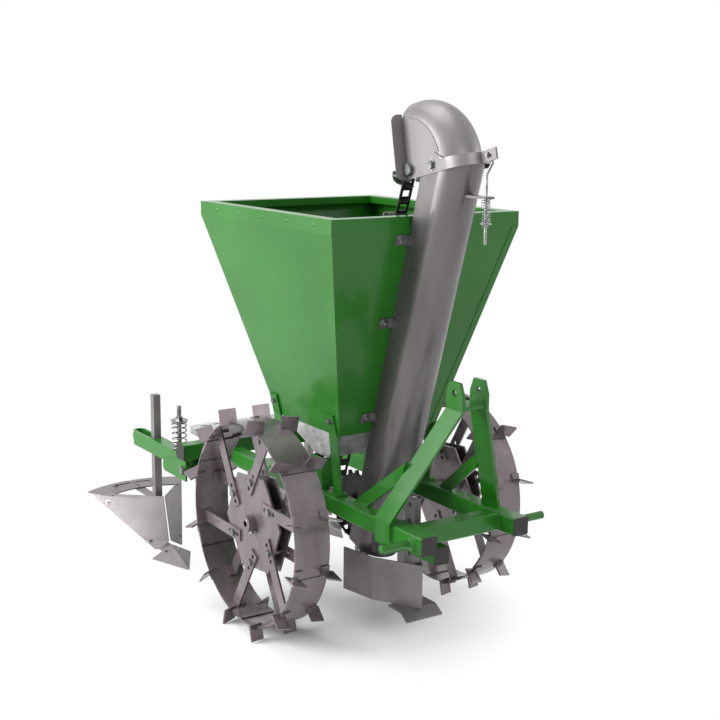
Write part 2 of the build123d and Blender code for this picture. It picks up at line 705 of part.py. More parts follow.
# Hopper legs: slanting straps from the side panels down to feet bolted on the beams
leg_top = hopper_base_z + LEG_OVERLAP
leg_panel_x = HOPPER_BASE_HALF_WIDTH + side_slope * LEG_OVERLAP
leg_foot_x = BEAM_X - LEG_FOOT_INSET
foot_top = BEAM_TOP + LEG_THICKNESS
leg_places = (behind(FRONT_LEG_FROM_FRONT), behind(REAR_LEG_FROM_FRONT))
for side, sign in SIDES:
    leg_view = [
        (sign * leg_foot_x, BEAM_TOP),
        (sign * HOPPER_BASE_HALF_WIDTH, hopper_base_z),
        (sign * leg_panel_x, leg_top),
        (sign * (leg_panel_x + LEG_THICKNESS), leg_top),
        (sign * (HOPPER_BASE_HALF_WIDTH + LEG_THICKNESS), hopper_base_z),
        (sign * (leg_foot_x + LEG_THICKNESS), BEAM_TOP),
    ]
    with BuildPart() as hopper_legs:
        for leg_y in leg_places:
            front_plate(leg_view, leg_y - LEG_WIDTH / 2, leg_y + LEG_WIDTH / 2)
            block(
                (sign * (BEAM_X - LEG_FOOT_WIDTH / 2), leg_y - LEG_WIDTH / 2, BEAM_TOP),
                (sign * (BEAM_X + LEG_FOOT_WIDTH / 2), leg_y - LEG_WIDTH / 2 + LEG_FOOT_LENGTH, foot_top),
            )
    save(hopper_legs, f"hopper_legs_{side}")

# Feed pan under the hopper with the slot that the rising cups pass through, and its posts
pan_floor_z = hopper_base_z - PAN_DEPTH
pan_half_width = HOPPER_BASE_HALF_WIDTH - PAN_SIDE_INSET
pan_front_y = behind(HOPPER_BASE_FRONT) + PAN_FRONT_INSET
pan_rear_y = behind(HOPPER_BASE_REAR) - PAN_REAR_INSET


def pan_wall_inside(top_y, floor_y):
    """Inner (y, z) points of a sloping pan wall, at its top and just above the pan's floor."""
    run = floor_y - top_y
    inset = copysign(PAN_SHEET * hypot(run, PAN_DEPTH) / PAN_DEPTH, run)
    low_y = floor_y - run * PAN_SHEET / PAN_DEPTH
    return [(top_y + inset, hopper_base_z), (low_y + inset, pan_floor_z + PAN_SHEET)]


pan_outline = [
    (pan_rear_y, hopper_base_z),
    (behind(PAN_FLOOR_REAR), pan_floor_z),
    (behind(PAN_FLOOR_FRONT), pan_floor_z),
    (pan_front_y, hopper_base_z),
]
front_inside = pan_wall_inside(pan_front_y, behind(PAN_FLOOR_FRONT))
rear_inside = pan_wall_inside(pan_rear_y, behind(PAN_FLOOR_REAR))
pan_inside = rear_inside + front_inside[::-1]
with BuildPart() as feed_pan:
    side_plate(pan_outline, -pan_half_width, pan_half_width)
    inside = pan_half_width - PAN_SHEET
    side_plate(pan_inside, -inside, inside, mode=Mode.SUBTRACT)
    block(
        (-PAN_SLOT_HALF_WIDTH, behind(PAN_SLOT_FRONT), pan_floor_z - PAN_SHEET),
        (PAN_SLOT_HALF_WIDTH, behind(PAN_SLOT_REAR), hopper_base_z),
        mode=Mode.SUBTRACT,
    )
save(feed_pan, "feed_pan")

with BuildPart() as pan_posts:
    post_y = behind((PAN_FLOOR_FRONT + PAN_FLOOR_REAR) / 2)
    for side, sign in SIDES:
        block(
            (sign * (BEAM_X - PAN_POST_WIDTH / 2), post_y - PAN_POST_LENGTH / 2, BEAM_TOP),
            (sign * (BEAM_X + PAN_POST_WIDTH / 2), post_y + PAN_POST_LENGTH / 2, pan_floor_z),
        )
        block(
            (sign * (BEAM_X - PAN_POST_WIDTH), post_y - PAN_POST_LENGTH / 2 + PAN_POST_SHEET, BEAM_TOP),
            (
                sign * (BEAM_X + PAN_POST_WIDTH / 2 - PAN_POST_SHEET),
                post_y + PAN_POST_LENGTH / 2 - PAN_POST_SHEET,
                pan_floor_z,
            ),
            mode=Mode.SUBTRACT,
        )
save(pan_posts, "pan_posts")

# Planting tube: a leaning channel with flat sides and a round front, open at its back, where it lies
# on the hopper's front panel; its top is cut back under the hood's elbow
lean = radians(TUBE_LEAN)
up_tube = Vector(0, -sin(lean), cos(lean))


def tube_axis(z):
    """Point at a height on the line that the tube's round front is centred on."""
    return (0, behind(TUBE_AT_BEAM_FROM_FRONT) - (z - BEAM_Z) * tan(lean), z)


panel_tilt = atan2(front_slope, 1)
front_panel_face = Plane(
    origin=(0, behind(HOPPER_BASE_FRONT), hopper_base_z),
    x_dir=(1, 0, 0),
    z_dir=(0, -cos(panel_tilt), -sin(panel_tilt)),
)
hood_z = BEAM_Z + HOOD_ABOVE_BEAM
pivot_z = hood_z + HOOD_PIVOT_ABOVE
pivot_y = tube_axis(pivot_z)[1] + HOOD_PIVOT_BEHIND_AXIS
hood_y = pivot_y + HOOD_PIVOT_AHEAD
tube_end_z = BEAM_Z - TUBE_END_BELOW_BEAM
tube_top_z = hood_z + TUBE_TOP_ABOVE_SHAFT
tube_length = (tube_top_z - tube_end_z) / cos(lean)
hood_half_width = TUBE_HALF_WIDTH + HOOD_GAP + HOOD_SHEET
front_way = Vector(0, cos(radians(HOOD_FRONT_ANGLE)), sin(radians(HOOD_FRONT_ANGLE)))
down_way = Vector(0, -front_way.Z, front_way.Y)
shaft_middle = Vector(0, hood_y, hood_z)
collar_plane = Plane(origin=shaft_middle, x_dir=(1, 0, 0), z_dir=down_way)


def tube_section(half_width, mode=Mode.ADD):
    """The tube's outline at a half width, drawn square to the tube and run along its length."""
    with BuildSketch(Plane(tube_axis(tube_end_z), x_dir=(1, 0, 0), z_dir=up_tube)) as section:
        Circle(half_width)
        with Locations((0, TUBE_SIDE_DEPTH / 2)):
            Rectangle(2 * half_width, TUBE_SIDE_DEPTH)
    extrude(section.sketch, amount=tube_length, mode=mode)


with BuildPart() as planting_tube:
    tube_section(TUBE_HALF_WIDTH)
    tube_section(TUBE_HALF_WIDTH - TUBE_WALL, mode=Mode.SUBTRACT)
    split(bisect_by=front_panel_face, keep=Keep.TOP)
    with BuildSketch(collar_plane.offset(TUBE_BELOW_BRIM)) as under_elbow:
        with Locations((0, HOOD_CHEEK_RADIUS - TUBE_NOTCH_BEHIND)):
            Rectangle(4 * hood_half_width, 2 * HOOD_RADIUS, align=(Align.CENTER, Align.MIN))
    extrude(under_elbow.sketch, amount=-HOOD_RADIUS, mode=Mode.SUBTRACT)
    round_bar(
        (-2 * TUBE_HALF_WIDTH, pivot_y, pivot_z),
        (2 * TUBE_HALF_WIDTH, pivot_y, pivot_z),
        HOOD_BOLT_RADIUS + RUNNING_GAP,
        mode=Mode.SUBTRACT,
    )
save(planting_tube, "planting_tube")

# Clips that hold the tube on the panel


def up_panel(rise):
    """Distance up the front panel's face from its lower edge to a rise above that edge."""
    return rise / cos(panel_tilt)


with BuildPart() as tube_clips:
    for side, sign in SIDES:
        for clip_rise in CLIPS_ABOVE_BASE:
            with BuildSketch(front_panel_face) as flat:
                with Locations((sign * (TUBE_HALF_WIDTH + CLIP_WIDTH / 2), up_panel(clip_rise))):
                    Rectangle(CLIP_WIDTH, CLIP_HEIGHT)
            extrude(flat.sketch, amount=CLIP_SHEET)
            with BuildSketch(front_panel_face) as upright:
                with Locations((sign * (TUBE_HALF_WIDTH + CLIP_SHEET / 2), up_panel(clip_rise))):
                    Rectangle(CLIP_SHEET, CLIP_HEIGHT)
            extrude(upright.sketch, amount=CLIP_UPRIGHT)
save(tube_clips, "tube_clips")

# Hood over the top sprocket: an elbow of sheet, two cheeks with rear guards, and a collar with the ear
arch_rise = HOOD_RADIUS - HOOD_CHEEK_RADIUS
arch_radius = (hood_half_width**2 + arch_rise**2) / (2 * arch_rise)
arch_centre = HOOD_RADIUS - arch_radius


def hood_point(radius, angle):
    """(y, z) of a point around the top shaft, its angle counted from the rear upwards."""
    return (hood_y + radius * cos(radians(angle)), hood_z + radius * sin(radians(angle)))


def hood_arch():
    """Curved strip of sheet that spans the cheeks, in the plane of x and the elbow's radius."""
    with Locations((0, arch_centre)):
        Circle(arch_radius)
        Circle(arch_radius - HOOD_SHEET, mode=Mode.SUBTRACT)
    ahead_of_cheeks()


def collar_outline(half_width, mode=Mode.ADD):
    """Round-ended outline ahead of the cheeks and round the tube's top, in the plane of the arch."""
    with Locations((0, COLLAR_CENTRE)):
        Circle(half_width, mode=mode)
    with Locations((0, HOOD_CHEEK_RADIUS)):
        Rectangle(
            2 * half_width,
            COLLAR_CENTRE - HOOD_CHEEK_RADIUS,
            align=(Align.CENTER, Align.MIN),
            mode=mode,
        )


def ahead_of_cheeks():
    """Keep what lies ahead of the cheeks' front edges, in the plane of the arch."""
    with Locations((0, HOOD_CHEEK_RADIUS)):
        Rectangle(
            4 * hood_half_width,
            2 * HOOD_RADIUS,
            align=(Align.CENTER, Align.MIN),
            mode=Mode.INTERSECT,
        )


rear_way = Vector(0, cos(radians(HOOD_REAR_ANGLE)), sin(radians(HOOD_REAR_ANGLE)))
back_way = Vector(0, rear_way.Z, -rear_way.Y)
fold_middle = shaft_middle + back_way * FOLD_BEHIND
fold_plane = Plane(origin=fold_middle, x_dir=(1, 0, 0), z_dir=back_way * -1)
turn = HOOD_FRONT_ANGLE - HOOD_REAR_ANGLE
ear_tip = COLLAR_CENTRE + hood_half_width - HOOD_SHEET + EAR_LENGTH
ear_hole = shaft_middle + front_way * (ear_tip - EAR_HOLE_FROM_TIP) + down_way * COLLAR_DEPTH / 2
ear_plane = Plane(origin=shaft_middle - Vector(EAR_THICKNESS / 2, 0, 0), x_dir=front_way, z_dir=(1, 0, 0))
with BuildPart() as hood_elbow:
    with BuildSketch(collar_plane) as arch:
        hood_arch()
    revolve(arch.sketch, axis=Axis(shaft_middle, (-1, 0, 0)), revolution_arc=turn)
    with BuildSketch(collar_plane) as collar:
        collar_outline(hood_half_width)
        collar_outline(hood_half_width - HOOD_SHEET, mode=Mode.SUBTRACT)
        ahead_of_cheeks()
    extrude(collar.sketch, amount=COLLAR_DEPTH)
    with BuildSketch(collar_plane) as brim:
        collar_outline(hood_half_width)
        with Locations((0, arch_centre)):
            Circle(arch_radius - HOOD_SHEET, mode=Mode.SUBTRACT)
        ahead_of_cheeks()
    extrude(brim.sketch, amount=HOOD_SHEET)
    with BuildSketch(fold_plane.offset(HOOD_SHEET)) as rear_arch:
        hood_arch()
    extrude(rear_arch.sketch, amount=FOLD_BEHIND - HOOD_SHEET)
    with BuildSketch(ear_plane) as ear:
        with Locations((ear_tip - EAR_LENGTH / 2, COLLAR_DEPTH / 2)):
            Rectangle(EAR_LENGTH, COLLAR_DEPTH)
    extrude(ear.sketch, amount=EAR_THICKNESS)
    round_bar(
        ear_hole - Vector(EAR_THICKNESS, 0, 0),
        ear_hole + Vector(EAR_THICKNESS, 0, 0),
        EAR_HOLE_RADIUS,
        mode=Mode.SUBTRACT,
    )
save(hood_elbow, "hood_elbow")

pivot_point = Vector(0, pivot_y, pivot_z)
cheek_inside = hood_half_width - HOOD_SHEET


def hood_cheek(sign):
    """Side of the hood: a flat plate under the elbow with a guard folded out along its rear edge."""
    front_corner = shaft_middle + front_way * HOOD_CHEEK_RADIUS
    low_front = front_corner + down_way * COLLAR_DEPTH
    low_rear = fold_middle - rear_way * GUARD_BELOW
    top_rear = fold_middle + rear_way * HOOD_CHEEK_RADIUS
    across = Vector(2 * TUBE_HALF_WIDTH, 0, 0)
    with BuildPart() as cheek:
        with BuildSketch(Plane.YZ.offset(sign * cheek_inside)) as outline:
            with BuildLine():
                CenterArc((hood_y, hood_z), HOOD_CHEEK_RADIUS, HOOD_REAR_ANGLE, turn)
                Polyline(
                    hood_point(HOOD_CHEEK_RADIUS, HOOD_FRONT_ANGLE),
                    (low_front.Y, low_front.Z),
                    (low_rear.Y, low_rear.Z),
                    (top_rear.Y, top_rear.Z),
                    hood_point(HOOD_CHEEK_RADIUS, HOOD_REAR_ANGLE),
                )
            make_face()
        extrude(outline.sketch, amount=sign * HOOD_SHEET)
        with BuildSketch(fold_plane) as guard:
            with Locations((sign * (cheek_inside + GUARD_WIDTH / 2), (GUARD_ABOVE - GUARD_BELOW) / 2)):
                Rectangle(GUARD_WIDTH, GUARD_ABOVE + GUARD_BELOW)
            outer_corners = guard.vertices().sort_by(Axis.X)
            fillet(outer_corners[:2] if sign < 0 else outer_corners[2:], GUARD_CORNER)
        extrude(guard.sketch, amount=HOOD_SHEET)
        for hole, radius in ((pivot_point, HOOD_BOLT_RADIUS), (shaft_middle, SHAFT_RADIUS)):
            round_bar(hole - across, hole + across, radius + RUNNING_GAP, mode=Mode.SUBTRACT)
    return cheek.part


cheeks = [hood_cheek(sign) for side, sign in SIDES]
with BuildPart() as hood_cheeks:
    add(cheeks)
save(hood_cheeks, "hood_cheeks")

with BuildPart() as sprocket_shaft:
    shaft_reach = hood_half_width + SHAFT_OVERHANG
    head_seat = (-hood_half_width, hood_y, hood_z)
    bolt(head_seat, (shaft_reach, hood_y, hood_z), SHAFT_RADIUS, nut_at=2 * hood_half_width)
save(sprocket_shaft, "sprocket_shaft")

# Chain tensioner: a hooked rod pulled down by a spring under a bracket on the tube
rod_y = ear_hole.Y + ROD_BEHIND_EAR
rod_bracket_z = hood_z - ROD_BRACKET_BELOW_SHAFT
bracket_under = rod_bracket_z - ROD_BRACKET_THICKNESS
spring_end_z = bracket_under - TENSION_SPRING_LENGTH
with BuildPart() as tension_bracket:
    block(
        (-ROD_BRACKET_WIDTH / 2, rod_y - ROD_BRACKET_WIDTH / 2, bracket_under),
        (ROD_BRACKET_WIDTH / 2, tube_axis(rod_bracket_z)[1], rod_bracket_z),
    )
    tube_section(TUBE_HALF_WIDTH, mode=Mode.SUBTRACT)
    round_bar(
        (0, rod_y, bracket_under),
        (0, rod_y, rod_bracket_z),
        ROD_RADIUS + SLIDE_GAP,
        mode=Mode.SUBTRACT,
    )
save(tension_bracket, "tension_bracket")

hook_side = EAR_THICKNESS / 2 + ROD_RADIUS + ROD_HOOK_GAP
rod_bends = [
    (0, rod_y, spring_end_z - ROD_TAIL),
    (0, rod_y, ear_hole.Z - ROD_BEND_BELOW_EAR),
    (hook_side, ear_hole.Y, ear_hole.Z - ROD_HOOK_HEIGHT),
    (hook_side, ear_hole.Y, ear_hole.Z),
    (-hook_side - ROD_RADIUS, ear_hole.Y, ear_hole.Z),
]
with BuildPart() as tension_rod:
    for start, end in zip(rod_bends, rod_bends[1:]):
        round_bar(start, end, ROD_RADIUS)
    with Locations(*rod_bends[1:-1]):
        Sphere(ROD_RADIUS)
    washer_z = spring_end_z - ROD_WASHER
    washer_radius = TENSION_SPRING_RADIUS + ROD_WASHER_LAP
    round_bar((0, rod_y, washer_z), (0, rod_y, spring_end_z), washer_radius)
    hex_bar((0, rod_y, washer_z - ROD_NUT_HEIGHT), (0, rod_y, washer_z), ROD_NUT_WIDTH)
save(tension_rod, "tension_rod")

coil_spring(
    (0, rod_y, spring_end_z),
    bracket_under,
    TENSION_SPRING_RADIUS,
    TENSION_SPRING_WIRE,
    TENSION_SPRING_TURNS,
    "tension_spring",
)

# Cup chain: links on the pitch line around both sprockets, a cup on every third link
top_radius = CHAIN_PITCH / (2 * sin(pi / TOP_TEETH))
drive_radius = CHAIN_PITCH / (2 * sin(pi / DRIVE_TEETH))
centre_way = Vector(0, AXLE_Y - hood_y, AXLE_Z - hood_z)
centre_distance = centre_way.length
along = centre_way.normalized()
forward = Vector(1, 0, 0).cross(along)
if forward.Y > 0:
    forward = forward * -1
wrap = asin((drive_radius - top_radius) / centre_distance)
front_normal = along * -sin(wrap) + forward * cos(wrap)
rear_normal = along * -sin(wrap) - forward * cos(wrap)
straight = centre_distance * cos(wrap)
drive_arc = drive_radius * (pi + 2 * wrap)
top_arc = top_radius * (pi - 2 * wrap)
loop_length = 2 * straight + drive_arc + top_arc
link_count = CUP_EVERY * round(loop_length / CHAIN_PITCH / CUP_EVERY)
drive_middle = Vector(0, AXLE_Y, AXLE_Z)


def turned(vector, angle):
    """Vector turned about the machine's cross axis, from the front down and round to the rear."""
    return vector.rotate(Axis.X, degrees(angle))


def chain_point(distance):
    """Point on the chain's pitch line, from the top sprocket's front down and round."""
    if distance < straight:
        start = shaft_middle + front_normal * top_radius
        end = drive_middle + front_normal * drive_radius
        return start + (end - start) * (distance / straight)
    distance -= straight
    if distance < drive_arc:
        return drive_middle + turned(front_normal, distance / drive_radius) * drive_radius
    distance -= drive_arc
    if distance < straight:
        start = drive_middle + rear_normal * drive_radius
        end = shaft_middle + rear_normal * top_radius
        return start + (end - start) * (distance / straight)
    distance -= straight
    return shaft_middle + turned(rear_normal, distance / top_radius) * top_radius


def chain_link(plane, length):
    """One link: a windowed plate that hooks round the next link's end with its roll."""
    body = length - CHAIN_ROLL_RADIUS - LINK_GAP
    window = 2 * (CHAIN_HALF_WIDTH - LINK_SIDE_BAR)
    with BuildPart() as link:
        with BuildSketch(plane.offset(-CHAIN_PLATE / 2)) as plate:
            with Locations((0, body / 2)):
                Rectangle(2 * CHAIN_HALF_WIDTH, body)
            with Locations((0, body / 2 + LINK_WINDOW_SHIFT)):
                Rectangle(window, body - 2 * LINK_END_BAR, mode=Mode.SUBTRACT)
        extrude(plate.sketch, amount=CHAIN_PLATE)
        half = plane.x_dir * CHAIN_HALF_WIDTH
        round_bar(plane.origin - half, plane.origin + half, CHAIN_ROLL_RADIUS)
    return link.part


def seed_cup(plane, length):
    """Round cup on a link's outer face, its mouth towards the way the chain runs."""
    cup_middle = plane.origin + plane.y_dir * length / 2 + plane.z_dir * CUP_OFFSET
    with BuildPart() as cup:
        with Locations(Location(cup_middle)):
            Sphere(CUP_RADIUS)
            Sphere(CUP_RADIUS - CUP_WALL, mode=Mode.SUBTRACT)
        split(bisect_by=Plane(cup_middle, x_dir=plane.x_dir, z_dir=plane.y_dir), keep=Keep.BOTTOM)
        drain_end = cup_middle - plane.y_dir * 2 * CUP_RADIUS
        round_bar(drain_end, cup_middle, CUP_DRAIN_RADIUS, mode=Mode.SUBTRACT)
        tab = Plane(
            plane.origin + plane.y_dir * (length / 2 - CUP_TAB_BACK) + plane.z_dir * CHAIN_PLATE / 2,
            x_dir=plane.x_dir,
            z_dir=plane.z_dir,
        )
        with BuildSketch(tab) as strap:
            Rectangle(CUP_TAB_WIDTH, CUP_TAB_DEPTH)
        extrude(strap.sketch, amount=CUP_OFFSET - CUP_RADIUS - CHAIN_PLATE / 2 + CUP_WALL)
    return cup.part


links = []
cups = []
for index in range(link_count):
    start = chain_point(loop_length * index / link_count)
    end = chain_point(loop_length * ((index + 1) % link_count) / link_count)
    run = end - start
    outward = run.cross(Vector(1, 0, 0)).normalized()
    link_plane = Plane(start, x_dir=outward.cross(run.normalized()) * -1, z_dir=outward)
    links.append(chain_link(link_plane, run.length))
    if index % CUP_EVERY == 1:
        cups.append(seed_cup(link_plane, run.length))

with BuildPart() as cup_chain:
    add(links)
save(cup_chain, "cup_chain")

with BuildPart() as seed_cups:
    add(cups)
save(seed_cups, "seed_cups")


def sprocket(middle, teeth, tip_radius, hub_radius, hub_half, bore):
    """Toothed disc with a hub, turning on a shaft along x."""
    root = tip_radius - TOOTH_HEIGHT
    face = Plane(middle - Vector(SPROCKET_THICKNESS / 2, 0, 0), x_dir=(0, 1, 0), z_dir=(1, 0, 0))
    with BuildSketch(face) as disc:
        Circle(root)
        with PolarLocations(root - TOOTH_HEIGHT / 4, teeth):
            Trapezoid(
                TOOTH_WIDTH,
                1.4 * TOOTH_HEIGHT,
                TOOTH_FLANK_ANGLE,
                rotation=-90,
                align=(Align.CENTER, Align.MIN),
            )
        Circle(tip_radius, mode=Mode.INTERSECT)
    extrude(disc.sketch, amount=SPROCKET_THICKNESS)
    half = Vector(hub_half, 0, 0)
    round_bar(middle - half, middle + half, hub_radius)
    round_bar(middle - half * 2, middle + half * 2, bore, mode=Mode.SUBTRACT)


with BuildPart() as top_sprocket:
    top_tip = top_radius - TOP_SPROCKET_SLACK
    bore = SHAFT_RADIUS + RUNNING_GAP
    sprocket(shaft_middle, TOP_TEETH, top_tip, TOP_HUB_RADIUS, TOP_HUB_HALF, bore)
save(top_sprocket, "top_sprocket")

link_run = loop_length / link_count
drive_tip = drive_radius * cos(link_run / drive_radius / 2) - CHAIN_PLATE / 2 - SLIDE_GAP
with BuildPart() as drive_sprocket:
    sprocket(drive_middle, DRIVE_TEETH, drive_tip, DRIVE_HUB_RADIUS, DRIVE_HUB_HALF, AXLE_RADIUS)
save(drive_sprocket, "drive_sprocket")

# Axle in two bearing blocks under the beams
hub_end = WHEEL_TRACK / 2 + HUB_LENGTH / 2 + AXLE_OVERHANG
with BuildPart() as drive_axle:
    round_bar((-hub_end, AXLE_Y, AXLE_Z), (hub_end, AXLE_Y, AXLE_Z), AXLE_RADIUS)
save(drive_axle, "drive_axle")

with BuildPart() as axle_bearings:
    for side, sign in SIDES:
        block(
            (sign * (BEAM_X - BEAM / 2), AXLE_Y - BEARING_HALF_LENGTH, AXLE_Z - BEARING_DROP),
            (sign * (BEAM_X + BEAM / 2), AXLE_Y + BEARING_HALF_LENGTH, BEAM_BASE),
        )
    round_bar(
        (-WHEEL_TRACK, AXLE_Y, AXLE_Z),
        (WHEEL_TRACK, AXLE_Y, AXLE_Z),
        AXLE_RADIUS + RUNNING_GAP,
        mode=Mode.SUBTRACT,
    )
save(axle_bearings, "axle_bearings")


# Ground wheels: hub with two plates, inner and outer spokes, rim segments and edge lugs
def wheel_places(sign, angles):
    """Places around a wheel's axle, each turned by its angle from the front upwards."""
    middle = (sign * WHEEL_TRACK / 2, AXLE_Y, AXLE_Z)
    return [Location(middle, (-angle, 0, 0)) for angle in angles]


rim_inside = RIM_RADIUS - RIM_SHEET
segment_angle = 360 / RIM_SEGMENTS
sixths = [k * segment_angle for k in range(RIM_SEGMENTS)]


def wheel_arc(radius_in, radius_out, first, last, x0, x1, mode=Mode.ADD):
    """Piece of a cylinder wall around the wheel's axle between two angles from the front."""
    with BuildSketch(Plane.YZ.offset(min(x0, x1))) as wall:
        with BuildLine():
            CenterArc((0, 0), radius_out, 180 - last, last - first)
            CenterArc((0, 0), radius_in, 180 - last, last - first)
            for angle in (180 - first, 180 - last):
                way = (cos(radians(angle)), sin(radians(angle)))
                Line((radius_in * way[0], radius_in * way[1]), (radius_out * way[0], radius_out * way[1]))
        make_face()
    extrude(wall.sketch, amount=abs(x1 - x0), mode=mode)


with BuildPart() as rim_segment:
    half_rim = RIM_WIDTH / 2
    seam_end = RIM_SEAM_ANGLE + segment_angle
    wheel_arc(rim_inside, RIM_RADIUS, RIM_SEAM_ANGLE, seam_end - RIM_SEAM_GAP, -half_rim, half_rim)
    lap_start = seam_end - RIM_OVERLAP_ANGLE / 2
    lap_end = seam_end + RIM_OVERLAP_ANGLE
    wheel_arc(rim_inside - RIM_SHEET, rim_inside, lap_start, lap_end, -half_rim, half_rim)


def spoke_piece(face, lean):
    """Slanting flat bar from a hub plate to the rim, with three holes and a bent foot."""
    x0 = face * (HUB_PLATE_OFFSET + SPOKE_THICKNESS)
    x1 = x0 + face * SPOKE_THICKNESS
    ahead = cos(radians(SPOKE_SLANT))
    aside = sin(radians(SPOKE_SLANT))
    reach = sqrt(rim_inside**2 - (SPOKE_BOLT_RADIUS * aside) ** 2) - SPOKE_BOLT_RADIUS * ahead
    end_angle = lean * degrees(atan2(reach * aside, SPOKE_BOLT_RADIUS + reach * ahead))
    half_foot = degrees(SPOKE_WIDTH / 2 / rim_inside)
    with BuildPart() as spoke:
        with BuildSketch(Plane.YZ.offset(min(x0, x1))) as outline:
            with Locations(Location((-SPOKE_BOLT_RADIUS, 0, 0), (0, 0, 180 - lean * SPOKE_SLANT))):
                with Locations((-SPOKE_INNER_REACH, 0)):
                    Rectangle(SPOKE_INNER_REACH + RIM_RADIUS, SPOKE_WIDTH, align=(Align.MIN, Align.CENTER))
            Circle(rim_inside, mode=Mode.INTERSECT)
            with Locations(Location((-SPOKE_BOLT_RADIUS, 0, 0), (0, 0, 180 - lean * SPOKE_SLANT))):
                with GridLocations(SPOKE_HOLE_PITCH, 0, 3, 1):
                    Circle(WHEEL_BOLT_RADIUS + SLIDE_GAP, mode=Mode.SUBTRACT)
        extrude(outline.sketch, amount=SPOKE_THICKNESS)
        foot_start = end_angle - half_foot
        foot_end = end_angle + half_foot
        foot_low = rim_inside - SPOKE_THICKNESS
        wheel_arc(foot_low, rim_inside, foot_start, foot_end, x1, x1 - face * SPOKE_FOOT)
    return spoke.part


def lug_piece(edge):
    """Skewed plate astride a rim edge, notched for the rim, with a foot lying on the rim."""
    middle = (edge * RIM_WIDTH / 2, -(LUG_RADIUS + RIM_RADIUS - LUG_INWARD) / 2, 0)
    foot_angle = degrees(LUG_FOOT / RIM_RADIUS)
    foot_x = edge * (RIM_WIDTH / 2 - LUG_WIDTH / 2)
    with BuildPart() as lug:
        with Locations(Location(middle, (0, LUG_SKEW, 0))):
            Box(LUG_WIDTH, LUG_OUTWARD + LUG_INWARD, LUG_SHEET)
        notch = RIM_WIDTH / 2 + SLIDE_GAP
        notch_angle = 2 * LUG_STEP / 3
        wheel_arc(
            rim_inside - SLIDE_GAP,
            RIM_RADIUS + SLIDE_GAP,
            -notch_angle,
            notch_angle,
            -notch,
            notch,
            mode=Mode.SUBTRACT,
        )
        foot_low = RIM_RADIUS + SLIDE_GAP
        wheel_arc(foot_low, foot_low + LUG_SHEET, 0, foot_angle, foot_x, edge * RIM_WIDTH / 2)
    return lug.part


lug_angles = [LUG_STEP / 2 + k * LUG_STEP for k in range(LUGS_PER_EDGE)]
bolt_angles = [SPOKE_BOLT_ANGLE + angle for angle in sixths]
lug_pair = [lug_piece(-1), lug_piece(1)]
with BuildPart() as wheel_hubs:
    for side, sign in SIDES:
        wheel_x = sign * WHEEL_TRACK / 2
        hub_start = hub_end - HUB_LENGTH
        round_bar((sign * hub_end, AXLE_Y, AXLE_Z), (sign * hub_start, AXLE_Y, AXLE_Z), HUB_RADIUS)
        for face in (-1, 1):
            plate_x = wheel_x + face * (HUB_PLATE_OFFSET + SPOKE_THICKNESS / 2)
            with BuildSketch(Plane.YZ.offset(plate_x - SPOKE_THICKNESS / 2)) as plate:
                with Locations(Location((AXLE_Y, AXLE_Z, 0), (0, 0, -HUB_PLATE_ANGLE))):
                    RegularPolygon(HUB_PLATE_RADIUS, 6)
                with Locations(Location((AXLE_Y, AXLE_Z, 0), (0, 0, 180 - SPOKE_BOLT_ANGLE))):
                    with PolarLocations(SPOKE_BOLT_RADIUS, RIM_SEGMENTS):
                        Circle(WHEEL_BOLT_RADIUS + SLIDE_GAP, mode=Mode.SUBTRACT)
            extrude(plate.sketch, amount=SPOKE_THICKNESS)
    round_bar(
        (-WHEEL_TRACK, AXLE_Y, AXLE_Z), (WHEEL_TRACK, AXLE_Y, AXLE_Z), AXLE_RADIUS, mode=Mode.SUBTRACT
    )
save(wheel_hubs, "wheel_hubs")

spokes = {(face, lean): spoke_piece(face, lean) for face in (-1, 1) for lean in (-1, 1)}
with BuildPart() as wheel_spokes:
    for side, sign in SIDES:
        with Locations(*wheel_places(sign, bolt_angles)):
            add([spokes[(sign, -1)], spokes[(-sign, 1)]])
save(wheel_spokes, "wheel_spokes")

with BuildPart() as wheel_rims:
    for side, sign in SIDES:
        with Locations(*wheel_places(sign, sixths)):
            add(rim_segment.part)
save(wheel_rims, "wheel_rims")

with BuildPart() as wheel_lugs:
    for side, sign in SIDES:
        with Locations(*wheel_places(sign, lug_angles)):
            add(lug_pair)
save(wheel_lugs, "wheel_lugs")

with BuildPart() as wheel_bolts:
    grip = HUB_PLATE_OFFSET + 2 * SPOKE_THICKNESS
    for side, sign in SIDES:
        for angle in bolt_angles:
            bolt_y = AXLE_Y - SPOKE_BOLT_RADIUS * cos(radians(angle))
            bolt_z = AXLE_Z + SPOKE_BOLT_RADIUS * sin(radians(angle))
            middle = sign * WHEEL_TRACK / 2
            seat = (middle + sign * grip, bolt_y, bolt_z)
            tip = (middle - sign * (grip + WHEEL_BOLT_OVERHANG), bolt_y, bolt_z)
            bolt(seat, tip, WHEEL_BOLT_RADIUS, nut_at=2 * grip)
save(wheel_bolts, "wheel_bolts")

# Furrow opener: a flat shank in the sleeve, two folded wings and a blade under the nose
opener_shank_top = BEAM_Z + OPENER_SHANK_ABOVE_BEAM
with BuildPart() as opener_shank:
    block(
        (-OPENER_SHANK_THICKNESS / 2, shank_y - OPENER_SHANK_WIDTH / 2, OPENER_LOW_Z + OPENER_SHANK_RAISE),
        (OPENER_SHANK_THICKNESS / 2, shank_y + OPENER_SHANK_WIDTH / 2, opener_shank_top),
    )
    for step in range(OPENER_HOLES):
        hole_z = opener_shank_top - OPENER_HOLE_FROM_TOP - step * OPENER_HOLE_PITCH
        round_bar(
            (-OPENER_SHANK_THICKNESS, shank_y, hole_z),
            (OPENER_SHANK_THICKNESS, shank_y, hole_z),
            OPENER_HOLE_RADIUS,
            mode=Mode.SUBTRACT,
        )
save(opener_shank, "opener_shank")

